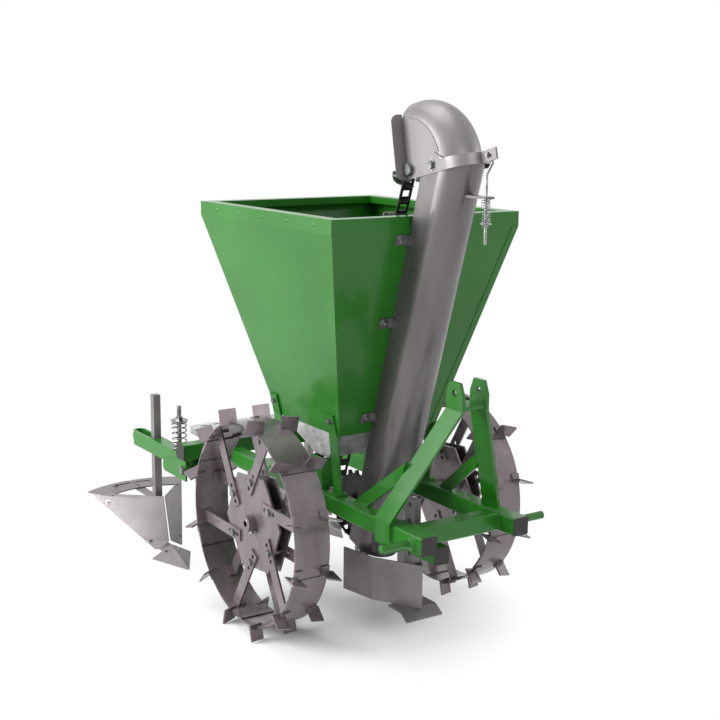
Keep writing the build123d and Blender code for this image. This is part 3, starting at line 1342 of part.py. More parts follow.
nose_y = behind(OPENER_NOSE_FROM_FRONT)
fold_y = behind(OPENER_FOLD_FROM_FRONT)
opener_rear_y = behind(OPENER_REAR_FROM_FRONT)
nose_slope = OPENER_FOLD_HALF_WIDTH / (fold_y - nose_y)
nose_inside = nose_y + OPENER_SHEET / sin(atan2(nose_slope, 1))
fold_inside = fold_y + OPENER_SHEET / 3
wing_outline = [
    (0, nose_y),
    (OPENER_FOLD_HALF_WIDTH, fold_y),
    (OPENER_REAR_HALF_WIDTH, opener_rear_y),
    (OPENER_REAR_HALF_WIDTH - OPENER_SHEET, opener_rear_y),
    (OPENER_FOLD_HALF_WIDTH - OPENER_SHEET, fold_inside),
    (0, nose_inside),
]
shank_front = shank_y - OPENER_SHANK_WIDTH / 2
with BuildPart() as furrow_opener:
    for sign in (-1, 1):
        plan_plate([(sign * x, y) for x, y in wing_outline], OPENER_LOW_Z, OPENER_TOP_Z)
    block(
        (-OPENER_SHANK_THICKNESS / 2, shank_front, OPENER_LOW_Z),
        (OPENER_SHANK_THICKNESS / 2, shank_front + OPENER_SHANK_WIDTH, OPENER_TOP_Z),
        mode=Mode.SUBTRACT,
    )
save(furrow_opener, "furrow_opener")

blade_bend_y = nose_y + BLADE_BEND_BEHIND_NOSE
blade_point_y = nose_y - BLADE_POINT_AHEAD
blade_fall = atan2(BLADE_DROP - BLADE_SHEET, blade_bend_y - blade_point_y)
blade_outline = [
    (blade_point_y, OPENER_LOW_Z - BLADE_DROP),
    (blade_bend_y, OPENER_LOW_Z - BLADE_SHEET),
    (blade_bend_y + BLADE_LENGTH, OPENER_LOW_Z - BLADE_SHEET),
    (blade_bend_y + BLADE_LENGTH, OPENER_LOW_Z),
    (blade_bend_y - BLADE_SHEET * tan(blade_fall / 2), OPENER_LOW_Z),
    (
        blade_point_y - BLADE_SHEET * sin(blade_fall),
        OPENER_LOW_Z - BLADE_DROP + BLADE_SHEET * cos(blade_fall),
    ),
]
with BuildPart() as opener_blade:
    side_plate(blade_outline, -BLADE_WIDTH / 2, BLADE_WIDTH / 2)
save(opener_blade, "opener_blade")

# Perforated step on the rear beam
step_front = rear_beam_y - BEAM / 2 - STEP_AHEAD
step_low = rear_beam_z + BEAM / 2
step_top = step_low + STEP_HEIGHT
slots_across = int((STEP_WIDTH - 2 * STEP_MARGIN) // STEP_SLOT_PITCH) + 1
with BuildPart() as step_plate:
    block((-STEP_WIDTH / 2, step_front, step_low), (STEP_WIDTH / 2, step_front + STEP_LENGTH, step_top))
    block(
        (-STEP_WIDTH / 2 + STEP_SHEET, step_front + STEP_SHEET, step_low),
        (STEP_WIDTH / 2 - STEP_SHEET, step_front + STEP_LENGTH - STEP_SHEET, step_top - STEP_SHEET),
        mode=Mode.SUBTRACT,
    )
    with BuildSketch(Plane.XY.offset(step_top - 2 * STEP_SHEET)) as cutouts:
        with Locations((0, step_front + STEP_LENGTH / 2)):
            with GridLocations(STEP_SLOT_PITCH, 2 * STEP_SLOT_PITCH, slots_across, 2):
                SlotOverall(STEP_SLOT_LENGTH, STEP_SLOT_WIDTH)
            with GridLocations(STEP_SLOT_PITCH, STEP_SLOT_PITCH, slots_across - 1, 1):
                Circle(STEP_HOLE_RADIUS)
    extrude(cutouts.sketch, amount=3 * STEP_SHEET, mode=Mode.SUBTRACT)
save(step_plate, "step_plate")

# Ridging bodies: brackets under the rear beam, each with a foot plate for its upright spring rod
hiller_pivot_y = behind(HILLER_PIVOT_FROM_FRONT)
spring_rod_y = behind(SPRING_ROD_FROM_FRONT)
bracket_inside = ARM_WIDTH / 2 + BRACKET_GAP
bracket_outside = bracket_inside + BRACKET_PLATE
bracket_top = rear_beam_z - BEAM / 2
bracket_front_y = rear_beam_y - BEAM / 2 - BRACKET_AHEAD
bracket_rear_y = behind(BRACKET_REAR_FROM_FRONT)
bracket_view = [
    (bracket_front_y, bracket_top),
    (rear_beam_y + BEAM / 2, bracket_top),
    (bracket_rear_y, BRACKET_REAR_Z + BRACKET_REAR_RADIUS),
    (bracket_rear_y, BRACKET_REAR_Z - BRACKET_REAR_RADIUS),
    (bracket_front_y, BRACKET_LOW_Z),
]
rod_foot_z = BRACKET_LOW_Z + BRACKET_PLATE
with BuildPart() as hiller_brackets:
    for side, sign in SIDES:
        middle = sign * HILLER_OFFSET
        for hand in (-1, 1):
            plate_x = middle + hand * bracket_inside
            side_plate(bracket_view, plate_x, plate_x + hand * BRACKET_PLATE)
            tip_start = (plate_x, bracket_rear_y, BRACKET_REAR_Z)
            tip_end = (plate_x + hand * BRACKET_PLATE, bracket_rear_y, BRACKET_REAR_Z)
            round_bar(tip_start, tip_end, BRACKET_REAR_RADIUS)
        block(
            (middle - bracket_inside, spring_rod_y - ARM_WIDTH / 2, BRACKET_LOW_Z),
            (middle + bracket_inside, spring_rod_y + ARM_WIDTH / 2, rod_foot_z),
        )
        round_bar(
            (middle - bracket_outside, hiller_pivot_y, HILLER_PIVOT_Z),
            (middle + bracket_outside, hiller_pivot_y, HILLER_PIVOT_Z),
            HILLER_PIVOT_RADIUS + RUNNING_GAP,
            mode=Mode.SUBTRACT,
        )
        round_bar(
            (middle, spring_rod_y, BRACKET_LOW_Z),
            (middle, spring_rod_y, rod_foot_z),
            SPRING_ROD_RADIUS + RUNNING_GAP,
            mode=Mode.SUBTRACT,
        )
save(hiller_brackets, "hiller_brackets")

# Pivot bolts: two hold the hood on the planting tube, and two carry the ridging arms
with BuildPart() as pivot_bolts:
    for side, sign in SIDES:
        hood_seat = (sign * (hood_half_width + SLIDE_GAP), pivot_y, pivot_z)
        bolt(hood_seat, (sign * (TUBE_HALF_WIDTH - HOOD_BOLT_REACH), pivot_y, pivot_z), HOOD_BOLT_RADIUS)
        middle = sign * HILLER_OFFSET
        arm_seat = (middle - bracket_outside, hiller_pivot_y, HILLER_PIVOT_Z)
        arm_tip = (middle + bracket_outside + HILLER_PIVOT_OVERHANG, hiller_pivot_y, HILLER_PIVOT_Z)
        bolt(arm_seat, arm_tip, HILLER_PIVOT_RADIUS, nut_at=2 * bracket_outside)
save(pivot_bolts, "pivot_bolts")

# Spring rods: each stands in a bracket's foot plate and ends in the washer and nut over its spring
with BuildPart() as hiller_spring_rods:
    spring_rod_top = BEAM_Z + SPRING_ROD_ABOVE_BEAM
    washer_top = HILLER_SPRING_TOP_Z + SPRING_WASHER
    nut_top = washer_top + SPRING_NUT_HEIGHT
    for side, sign in SIDES:
        middle = sign * HILLER_OFFSET
        rod_foot = (middle, spring_rod_y, BRACKET_LOW_Z)
        round_bar(rod_foot, (middle, spring_rod_y, spring_rod_top), SPRING_ROD_RADIUS)
        hex_bar((middle, spring_rod_y, BRACKET_LOW_Z - SPRING_ROD_HEAD), rod_foot, SPRING_NUT_WIDTH)
        round_bar(
            (middle, spring_rod_y, HILLER_SPRING_TOP_Z),
            (middle, spring_rod_y, washer_top),
            HILLER_SPRING_RADIUS + HILLER_SPRING_WIRE,
        )
        hex_bar((middle, spring_rod_y, washer_top), (middle, spring_rod_y, nut_top), SPRING_NUT_WIDTH)
save(hiller_spring_rods, "hiller_spring_rods")

# Arms: flat bar bent into a U round each shank, with a slotted spring plate on top
hiller_shank_y = behind(HILLER_SHANK_FROM_FRONT)
arm_rear_y = behind(ARM_REAR_FROM_FRONT)
arm_bend_y = arm_rear_y - ARM_WIDTH / 2
arm_top_y = behind(ARM_TOP_FROM_FRONT)
arm_top_z = ARM_LOW_Z + ARM_HEIGHT
arm_inside = ARM_WIDTH / 2 - ARM_STRAP
half_shank = HILLER_SHANK / 2
arm_view = [
    (hiller_pivot_y, HILLER_PIVOT_Z - ARM_BOSS_RADIUS),
    (arm_top_y, ARM_LOW_Z),
    (arm_bend_y, ARM_LOW_Z),
    (arm_bend_y, arm_top_z),
    (arm_top_y + ARM_STRAP, arm_top_z),
    (arm_top_y, HILLER_PIVOT_Z + ARM_BOSS_RADIUS),
    (hiller_pivot_y, HILLER_PIVOT_Z + ARM_BOSS_RADIUS),
]
for side, sign in SIDES:
    middle = sign * HILLER_OFFSET
    with BuildPart() as hiller_arm:
        for hand in (-1, 1):
            outer_x = middle + hand * ARM_WIDTH / 2
            inner_x = middle + hand * arm_inside
            side_plate(arm_view, inner_x, outer_x)
            boss_start = (inner_x, hiller_pivot_y, HILLER_PIVOT_Z)
            round_bar(boss_start, (outer_x, hiller_pivot_y, HILLER_PIVOT_Z), ARM_BOSS_RADIUS)
        low = middle - arm_inside
        high = middle + arm_inside
        with BuildSketch(Plane.XY.offset(ARM_LOW_Z)) as bend:
            with Locations((middle, arm_bend_y)):
                Circle(ARM_WIDTH / 2)
                Circle(arm_inside, mode=Mode.SUBTRACT)
                Rectangle(ARM_WIDTH, ARM_WIDTH, align=(Align.CENTER, Align.MIN), mode=Mode.INTERSECT)
        extrude(bend.sketch, amount=ARM_HEIGHT)
        pad_rear = hiller_shank_y - half_shank - SLIDE_GAP
        block((low, pad_rear - ARM_STRAP, ARM_LOW_Z), (high, pad_rear, arm_top_z))
        block((low, arm_top_y + ARM_STRAP, arm_top_z - BRACKET_PLATE), (high, pad_rear, arm_top_z))
        with BuildSketch(Plane.XY.offset(arm_top_z - 2 * BRACKET_PLATE)) as rod_slot:
            with Locations((middle, spring_rod_y)):
                SlotOverall(ARM_SLOT_LENGTH, 2 * (SPRING_ROD_RADIUS + ARM_SLOT_GAP), rotation=90)
        extrude(rod_slot.sketch, amount=3 * BRACKET_PLATE, mode=Mode.SUBTRACT)
        round_bar(
            (middle - ARM_WIDTH, hiller_pivot_y, HILLER_PIVOT_Z),
            (middle + ARM_WIDTH, hiller_pivot_y, HILLER_PIVOT_Z),
            HILLER_PIVOT_RADIUS + RUNNING_GAP,
            mode=Mode.SUBTRACT,
        )
        set_bolt_z = (ARM_LOW_Z + arm_top_z) / 2
        bolt(
            (middle, arm_rear_y, set_bolt_z),
            (middle, hiller_shank_y + half_shank + SLIDE_GAP, set_bolt_z),
            HILLER_PIVOT_RADIUS,
        )
    save(hiller_arm, f"hiller_arm_{side}")
    coil_spring(
        (middle, spring_rod_y, arm_top_z),
        HILLER_SPRING_TOP_Z,
        HILLER_SPRING_RADIUS,
        HILLER_SPRING_WIRE,
        HILLER_SPRING_TURNS,
        f"hiller_spring_{side}",
    )

# Shares: two sloping plates that meet on a ridge
share_tip_y = behind(SHARE_TIP_FROM_FRONT)
share_back_y = behind(SHARE_BACK_FROM_FRONT)
share_slope = SHARE_TOP_Z / (share_back_y - share_tip_y)


def share_plates(middle):
    """Ridged share: a three-sided point, less the same point moved down by the sheet's thickness."""
    outlines = (
        (share_back_y, SHARE_HALF_WIDTH, SHARE_TOP_Z, SHARE_SIDE_Z),
        (share_tip_y, SHARE_TIP, SHARE_TIP, 0),
    )
    with BuildPart() as share:
        for drop, mode in ((0, Mode.ADD), (SHARE_SHEET, Mode.SUBTRACT)):
            sections = []
            for y, half, ridge, side_z in outlines:
                face = Plane(origin=(middle, y, -drop), x_dir=(1, 0, 0), z_dir=(0, -1, 0))
                with BuildSketch(face) as section:
                    Polygon((-half, side_z), (0, ridge), (half, side_z), align=None)
                sections.append(section.sketch)
            loft(sections, ruled=True, mode=mode)
    return share.part


# Shanks: square bars with a frog into the share and a tail bar that clamps the wings' quadrants
wing_axis_y = behind(WING_AXIS_FROM_FRONT)
tail_top = WING_END_Z - SLIDE_GAP
hiller_shank_top = BEAM_Z + HILLER_SHANK_ABOVE_BEAM


def plan_sector(middle, radius_in, radius_out, first, last, z0, z1, mode=Mode.ADD):
    """Flat arc around a wing's upright axis between two angles from straight behind."""
    centre = (middle, wing_axis_y)
    with BuildSketch(Plane.XY.offset(min(z0, z1))) as arc:
        with BuildLine():
            CenterArc(centre, radius_out, 90 - last, last - first)
            CenterArc(centre, radius_in, 90 - last, last - first)
            for angle in (90 - first, 90 - last):
                way = (cos(radians(angle)), sin(radians(angle)))
                inner = (middle + radius_in * way[0], wing_axis_y + radius_in * way[1])
                Line(inner, (middle + radius_out * way[0], wing_axis_y + radius_out * way[1]))
        make_face()
    extrude(arc.sketch, amount=abs(z1 - z0), mode=mode)


def wing_part(middle, hand):
    """One wing: a twisted sheet through level slices, with its slotted quadrant behind."""
    low = Vector(WING_LOW_SPREAD, WING_LOW_BEHIND, WING_LOW_Z)
    end = Vector(WING_END_HALF_SPREAD, WING_END_BEHIND, WING_END_Z)
    front_low = Vector(WING_START, 0, WING_FRONT_LOW_Z)
    front_top = Vector(WING_START, WING_TOP_BEHIND, WING_TOP_Z)

    def between(start, finish, z):
        """Point at a height on the line through two points."""
        return start + (finish - start) * ((z - start.Z) / (finish.Z - start.Z))

    tip_run = (end - front_top).normalized() * WING_TIP
    low_run = (between(low, end, WING_FRONT_LOW_Z) - front_low).normalized() * WING_TIP
    slices = [
        (low - low_run, low),
        (front_low, between(low, end, WING_FRONT_LOW_Z)),
        (between(front_low, front_top, WING_END_Z), end),
        (front_top, front_top + tip_run),
    ]
    with BuildPart() as wing:
        sections = []
        for first, last in slices:
            run = Vector(last.X - first.X, last.Y - first.Y, 0).normalized()
            inward = Vector(-run.Y, run.X, 0) * WING_SHEET
            corners = [first, last, last + inward, first + inward]
            with BuildSketch(Plane.XY.offset(first.Z)) as section:
                Polygon(*((middle + hand * p.X, wing_axis_y + p.Y) for p in corners), align=None)
            sections.append(section.sketch)
        loft(sections, ruled=True)
        angles = (QUADRANT_START, degrees(atan2(WING_END_HALF_SPREAD, WING_END_BEHIND)))
        first, last = sorted(hand * angle for angle in angles)
        quadrant_top = WING_END_Z + QUADRANT_SHEET
        plan_sector(
            middle,
            QUADRANT_INNER_RADIUS,
            QUADRANT_OUTER_RADIUS,
            first,
            last,
            WING_END_Z,
            quadrant_top,
        )
        first, last = sorted(hand * angle for angle in QUADRANT_SLOT_ANGLES)
        slot_half = CLAMP_BOLT_RADIUS + SLIDE_GAP
        plan_sector(
            middle,
            QUADRANT_SLOT_RADIUS - slot_half,
            QUADRANT_SLOT_RADIUS + slot_half,
            first,
            last,
            WING_END_Z,
            quadrant_top,
            mode=Mode.SUBTRACT,
        )
    return wing.part


for side, sign in SIDES:
    middle = sign * HILLER_OFFSET
    share_part = share_plates(middle)
    with BuildPart() as hiller_share:
        add(share_part)
    save(hiller_share, f"hiller_share_{side}")

    with BuildPart() as hiller_shank:
        block(
            (middle - half_shank, hiller_shank_y - half_shank, FROG_LOW_Z),
            (middle + half_shank, hiller_shank_y + half_shank, hiller_shank_top),
        )
        frog_front = share_back_y - FROG_LAP
        side_plate(
            [
                (frog_front, FROG_LOW_Z),
                (frog_front, SHARE_TOP_Z - share_slope * FROG_LAP - SHARE_SHEET),
                (share_back_y, SHARE_TOP_Z - SHARE_SHEET),
                (hiller_shank_y, SHARE_TOP_Z - SHARE_SHEET),
                (hiller_shank_y, FROG_LOW_Z),
            ],
            middle - FROG_THICKNESS / 2,
            middle + FROG_THICKNESS / 2,
        )
        tail_low = tail_top - BRACKET_PLATE
        tail_end_y = wing_axis_y + QUADRANT_SLOT_RADIUS
        tail_start = (middle - TAIL_WIDTH / 2, hiller_shank_y, tail_low)
        block(tail_start, (middle + TAIL_WIDTH / 2, tail_end_y, tail_top))
        plan_sector(
            middle,
            QUADRANT_SLOT_RADIUS - TAIL_WIDTH / 2,
            QUADRANT_SLOT_RADIUS + TAIL_WIDTH / 2,
            -CLAMP_ANGLE - CLAMP_MARGIN_ANGLE,
            CLAMP_ANGLE + CLAMP_MARGIN_ANGLE,
            tail_low,
            tail_top,
        )
        for hand in (-1, 1):
            clamp_x = middle + hand * QUADRANT_SLOT_RADIUS * sin(radians(CLAMP_ANGLE))
            clamp_y = wing_axis_y + QUADRANT_SLOT_RADIUS * cos(radians(CLAMP_ANGLE))
            clamp_top = WING_END_Z + QUADRANT_SHEET + SLIDE_GAP
            bolt((clamp_x, clamp_y, clamp_top), (clamp_x, clamp_y, tail_low), CLAMP_BOLT_RADIUS)
        add(share_part, mode=Mode.SUBTRACT)
    save(hiller_shank, f"hiller_shank_{side}")

    for hand, place in ((-sign, "inner"), (sign, "outer")):
        with BuildPart() as hiller_wing:
            add(wing_part(middle, hand))
        save(hiller_wing, f"hiller_wing_{side}_{place}")
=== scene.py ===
"""Potato planter for a tractor's hitch, dressed for a studio view.

Metres, in the part's own frame: +Z up, +Y to the rear, +X to the machine's left. The sections follow
the machine as it is put together.
"""

import json

import bpy
import numpy as np
from mathutils import Matrix, Vector


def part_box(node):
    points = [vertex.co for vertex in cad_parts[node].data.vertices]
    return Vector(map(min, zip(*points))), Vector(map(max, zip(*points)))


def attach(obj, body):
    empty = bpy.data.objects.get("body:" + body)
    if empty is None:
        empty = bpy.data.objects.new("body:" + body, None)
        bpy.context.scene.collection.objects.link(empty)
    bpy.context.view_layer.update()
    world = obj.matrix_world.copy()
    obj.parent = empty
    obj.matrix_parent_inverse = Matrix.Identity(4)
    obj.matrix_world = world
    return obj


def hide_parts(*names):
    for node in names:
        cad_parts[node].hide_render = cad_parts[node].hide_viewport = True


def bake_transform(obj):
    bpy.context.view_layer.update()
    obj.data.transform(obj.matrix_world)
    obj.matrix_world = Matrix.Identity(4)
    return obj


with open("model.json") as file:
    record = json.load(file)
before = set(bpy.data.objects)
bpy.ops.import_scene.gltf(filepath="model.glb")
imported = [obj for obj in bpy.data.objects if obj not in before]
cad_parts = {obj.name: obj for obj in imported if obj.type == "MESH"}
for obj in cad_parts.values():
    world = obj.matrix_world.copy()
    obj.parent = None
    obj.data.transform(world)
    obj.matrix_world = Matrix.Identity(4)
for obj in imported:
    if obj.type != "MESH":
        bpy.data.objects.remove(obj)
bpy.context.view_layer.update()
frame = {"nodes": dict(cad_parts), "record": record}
nodes = frame["nodes"]

# Frame: square steel tubes, welded into a ladder, with a rear beam for the ridging bodies.
# They are stove-enamelled in one gloss green, slightly uneven in tone like any sprayed coat.
NOISE_SPAN = (0.3, 0.7)
DEEP_GREEN = (0.010, 0.118, 0.005)
BRIGHT_GREEN = (0.015, 0.150, 0.008)


def blank_material(name):
    """New material with a Principled shader; returns it with its node tree and shader."""
    material = bpy.data.materials.new(name)
    material.use_nodes = True
    tree = material.node_tree
    tree.nodes.clear()
    shader = tree.nodes.new("ShaderNodeBsdfPrincipled")
    out = tree.nodes.new("ShaderNodeOutputMaterial")
    tree.links.new(shader.outputs["BSDF"], out.inputs["Surface"])
    return material, tree, shader


def noise(tree, per_metre, detail=3.0, stretch=(1, 1, 1)):
    """Noise on Object coordinates, stretched along the axes; returns its value socket."""
    place = tree.nodes.new("ShaderNodeTexCoord")
    scaled = tree.nodes.new("ShaderNodeMapping")
    scaled.inputs["Scale"].default_value = stretch
    pattern = tree.nodes.new("ShaderNodeTexNoise")
    pattern.inputs["Scale"].default_value = per_metre
    pattern.inputs["Detail"].default_value = detail
    tree.links.new(place.outputs["Object"], scaled.inputs["Vector"])
    tree.links.new(scaled.outputs["Vector"], pattern.inputs["Vector"])
    return pattern.outputs["Fac"]


def between(tree, value, low, high, span=NOISE_SPAN):
    """Value from its usual span mapped onto low to high."""
    ranged = tree.nodes.new("ShaderNodeMapRange")
    ranged.inputs["From Min"].default_value = span[0]
    ranged.inputs["From Max"].default_value = span[1]
    ranged.inputs["To Min"].default_value = low
    ranged.inputs["To Max"].default_value = high
    tree.links.new(value, ranged.inputs["Value"])
    return ranged.outputs["Result"]


def tones(tree, value, dark, light, span=NOISE_SPAN):
    """Colour that runs from dark to light over a span of the value."""
    ramp = tree.nodes.new("ShaderNodeValToRGB")
    ramp.color_ramp.elements[0].position = span[0]
    ramp.color_ramp.elements[1].position = span[1]
    ramp.color_ramp.elements[0].color = (*dark, 1)
    ramp.color_ramp.elements[1].color = (*light, 1)
    tree.links.new(value, ramp.inputs["Fac"])
    return ramp.outputs["Color"]


def roughen(tree, shader, height, strength, depth):
    """Bump from a height value, its depth in metres."""
    bump = tree.nodes.new("ShaderNodeBump")
    bump.inputs["Strength"].default_value = strength
    bump.inputs["Distance"].default_value = depth
    tree.links.new(height, bump.inputs["Height"])
    tree.links.new(bump.outputs["Normal"], shader.inputs["Normal"])


def gloss_green_paint():
    """Green enamel: slow drifts of tone, a fine orange peel and a clear gloss."""
    material, tree, shader = blank_material("gloss_green_paint")
    drift = noise(tree, per_metre=4.0)
    tree.links.new(tones(tree, drift, DEEP_GREEN, BRIGHT_GREEN), shader.inputs["Base Color"])
    haze = noise(tree, per_metre=9.0, detail=5.0)
    tree.links.new(between(tree, haze, low=0.26, high=0.36), shader.inputs["Roughness"])
    shader.inputs["Specular IOR Level"].default_value = 0.35
    shader.inputs["Coat Weight"].default_value = 0.25
    shader.inputs["Coat Roughness"].default_value = 0.07
    roughen(tree, shader, noise(tree, per_metre=420.0, detail=2.0), strength=0.10, depth=0.0002)
    return material


def dress(material, *names):
    """Give CAD nodes a material in place of their plain one."""
    for name in names:
        mesh = nodes[name].data
        mesh.materials.clear()
        mesh.materials.append(material)


green_paint = gloss_green_paint()
dress(green_paint, "frame_beam_right", "frame_beam_left", "front_cross_beam", "opener_cross_tube")
dress(green_paint, "rear_beam", "opener_socket")

SHARP_EDGE = np.radians(35)
TINY = 1e-5


def surface(name, grids, material, body=None):
    """One mesh of quads over (n, m, 3) arrays of points, each wrapped round in its second direction.

    A face caps each end of a grid, and the faces of a grid turn about where the sum of its face centres
    times their area vectors is negative, so that all point outwards. The mesh rides on a body where one is
    given, and on none otherwise.
    """
    points = []
    faces = []
    for grid in grids:
        ring = np.arange(grid.shape[0] * grid.shape[1]).reshape(grid.shape[:2]) + len(points)
        index = np.concatenate([ring, ring[:, :1]], axis=1)
        quads = np.stack([index[:-1, :-1], index[1:, :-1], index[1:, 1:], index[:-1, 1:]], axis=-1)
        corners = (grid - grid.mean(axis=(0, 1))).reshape(-1, 3)[quads - len(points)]
        areas = np.cross(corners[:, :, 2] - corners[:, :, 0], corners[:, :, 3] - corners[:, :, 1])
        shell = [*quads.reshape(-1, 4).tolist(), ring[0].tolist(), ring[-1, ::-1].tolist()]
        if np.sum(corners.mean(axis=2) * areas) < 0:
            shell = [face[::-1] for face in shell]
        points.extend(grid.reshape(-1, 3).tolist())
        faces.extend(shell)
    mesh = bpy.data.meshes.new(name)
    mesh.from_pydata(points, [], faces)
    mesh.polygons.foreach_set("use_smooth", np.ones(len(mesh.polygons), dtype=bool))
    mesh.set_sharp_from_angle(angle=SHARP_EDGE)
    mesh.materials.append(material)
    mesh.update()
    piece = bpy.data.objects.new(name, mesh)
    bpy.context.scene.collection.objects.link(piece)
    if body:
        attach(piece, body)
    return piece


def square_to(way):
    """Two unit vectors square to a direction and to each other."""
    helper = np.array((0.0, 0.0, 1.0)) if abs(way[2]) < 0.9 else np.array((1.0, 0.0, 0.0))
    first = np.cross(way, helper)
    first /= np.linalg.norm(first)
    return first, np.cross(way, first)


def turned(foot, way, profile, sides=28):
    """Points foot + d way + r (cos t a + sin t b), for each (d, r) of the profile and t round the way."""
    way = np.array(way, dtype=float)
    way /= np.linalg.norm(way)
    first, second = square_to(way)
    turn = np.linspace(0, 2 * np.pi, sides, endpoint=False)[None, :, None]
    ring = np.cos(turn) * first + np.sin(turn) * second
    depth, radius = (np.array(row)[:, None, None] for row in zip(*profile))
    return np.array(foot) + depth * way + radius * ring


WELD_RADIUS = 0.0032
WELD_SWELL = 0.2
WELD_RIPPLES = 12
WELD_INSET = 0.004


def bead(start, end):
    """Grid of a weld: a tube along a line, of radius r (1 + a sin(2 pi n s)) with s from 0 to 1 along it.

    Its ends close to a point.
    """
    start, end = np.array(start), np.array(end)
    share = np.linspace(0, 1, 8 * WELD_RIPPLES)
    radius = WELD_RADIUS * (1 + WELD_SWELL * np.sin(2 * np.pi * WELD_RIPPLES * share))
    radius[[0, -1]] = TINY
    length = np.linalg.norm(end - start)
    return turned(start, end - start, list(zip(share * length, radius)), sides=10)


SIDES = (-1, 1)
cross_low, cross_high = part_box("front_cross_beam")
frame_welds = []
for side in SIDES:
    seam_x = side * cross_high[0]
    top_front = (seam_x, cross_low[1] + WELD_INSET, cross_high[2])
    top_rear = (seam_x, cross_high[1] - WELD_INSET, cross_high[2])
    front_foot = (seam_x, cross_low[1], cross_low[2] + WELD_INSET)
    front_head = (seam_x, cross_low[1], cross_high[2] - WELD_INSET)
    frame_welds += [bead(top_front, top_rear), bead(front_foot, front_head)]
surface("frame_welds", frame_welds, green_paint, "frame")

# End caps: black plastic plugs pressed into the open ends of the tubes.
# They are moulded, with a fine matt grain.
CAP_BLACK = (0.009, 0.007, 0.008)
CAP_WORN = (0.016, 0.012, 0.014)


def grained_black_plastic():
    """Black polyethylene with a moulded grain."""
    material, tree, shader = blank_material("grained_black_plastic")
    colour = tones(tree, noise(tree, per_metre=30.0), CAP_BLACK, CAP_WORN)
    tree.links.new(colour, shader.inputs["Base Color"])
    dull = between(tree, noise(tree, per_metre=60.0), low=0.42, high=0.55)
    tree.links.new(dull, shader.inputs["Roughness"])
    roughen(tree, shader, noise(tree, per_metre=900.0, detail=2.0), strength=0.3, depth=0.0002)
    return material


dress(grained_black_plastic(), "tube_end_caps")

# Hitch: two pins for the lower links, and a tower of bent flat bars whose lugs take the top link.
# All of it is welded to the frame and painted with it.
dress(green_paint, "hitch_pin_right", "hitch_pin_left", "tower_bar_right", "tower_bar_left")
dress(green_paint, "tower_spacer", "tower_braces")

PIN_FILLET = [(0, 0.0190), (0.002, 0.0178), (0.006, 0.0140), (0.010, 0.0115), (0.010, 0.0105)]
TOWER_BAR_WIDTH = 0.070
beam_low, beam_high = (np.array(corner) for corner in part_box("frame_beam_left"))
beam_middle = (beam_low + beam_high) / 2
pin_low, pin_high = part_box("hitch_pin_left")
pin_y = (pin_low[1] + pin_high[1]) / 2
tower_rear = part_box("tower_bar_left")[1][1]
hitch_welds = []
for side in SIDES:
    outside = side * beam_high[0]
    hitch_welds.append(turned((outside, pin_y, beam_middle[2]), (side, 0, 0), PIN_FILLET))
    for edge_y in (tower_rear - TOWER_BAR_WIDTH, tower_rear):
        weld_foot = (outside, edge_y, beam_low[2] + WELD_INSET)
        weld_head = (outside, edge_y, beam_high[2] - WELD_INSET)
        hitch_welds.append(bead(weld_foot, weld_head))
surface("hitch_welds", hitch_welds, green_paint, "frame")

# Hopper: four folded sheet panels with a boxed rim, on slanting legs bolted to the beams.
# A flange strip lies along each edge of the front panel, and plug welds hold the rim.
dress(green_paint, "hopper_side_right", "hopper_side_left", "hopper_front", "hopper_rear")
dress(green_paint, "hopper_rim", "hopper_legs_right", "hopper_legs_left", "pan_posts")

PANEL_RUN = 0.177
HALF_BASE = 0.170
panel_low, panel_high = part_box("hopper_front")
panel_height = panel_high[2] - panel_low[2]
half_rim = panel_high[0]
side_slope = (half_rim - HALF_BASE) / panel_height
panel_normal = np.array((0, -panel_height, -PANEL_RUN)) / np.hypot(panel_height, PANEL_RUN)


def on_panel(x, rise):
    """Point on the front panel's outer face at a height over the panel's foot."""
    forward = PANEL_RUN * (1 - rise / panel_height)
    return np.array((x, panel_low[1] + forward, panel_low[2] + rise))


def flat_bar(start, end, wide, thick):
    """Grid of a plate along a line: a four-cornered ring carried from end to end."""
    start, end, wide, thick = (np.array(given, dtype=float) for given in (start, end, wide, thick))
    ring = np.array([wide + thick, thick - wide, -wide - thick, wide - thick]) / 2
    return np.stack([start + ring, end + ring])


FLANGE_WIDTH = 0.022
FLANGE_SHEET = 0.0015
FLANGE_FOOT_GAP = 0.004
FLANGE_TOP_GAP = 0.002
flanges = []
for side in SIDES:
    ends = []
    for rise in (FLANGE_FOOT_GAP, panel_height - FLANGE_TOP_GAP):
        flange_x = HALF_BASE + side_slope * rise - FLANGE_WIDTH / 2
        ends.append(on_panel(side * flange_x, rise) + panel_normal * FLANGE_SHEET / 2)
    flanges.append(flat_bar(*ends, (FLANGE_WIDTH, 0, 0), panel_normal * FLANGE_SHEET))
surface("panel_flanges", flanges, green_paint, "frame")


def behind(distance):
    """Place along the machine at a distance behind its frame's front end."""
    return beam_low[1] + distance


PLUG_WELDS = 5
FIRST_PLUG_WELD = 0.321
PLUG_WELD_PITCH = 0.136
PLUG_WELD_Z = 1.201
PLUG_WELD_DOME = [(0, 0.0055), (0.0010, 0.0045), (0.0016, 0.0025), (0.0018, TINY)]
plug_welds = []
for side in SIDES:
    for place in FIRST_PLUG_WELD + PLUG_WELD_PITCH * np.arange(PLUG_WELDS):
        seat = (side * half_rim, behind(place), PLUG_WELD_Z)
        plug_welds.append(turned(seat, (side, 0, 0), PLUG_WELD_DOME, sides=16))
surface("rim_plug_welds", plug_welds, green_paint, "frame")

# Feed pan: galvanised sheet under the hopper, which leads the seed to the rising cups.
# Its zinc coat shows a spangle of pale and darker flakes.
DARK_FLAKE = (0.46, 0.47, 0.47)
PALE_FLAKE = (0.62, 0.63, 0.63)
FLAKE_SPAN = (0.0, 1.0)


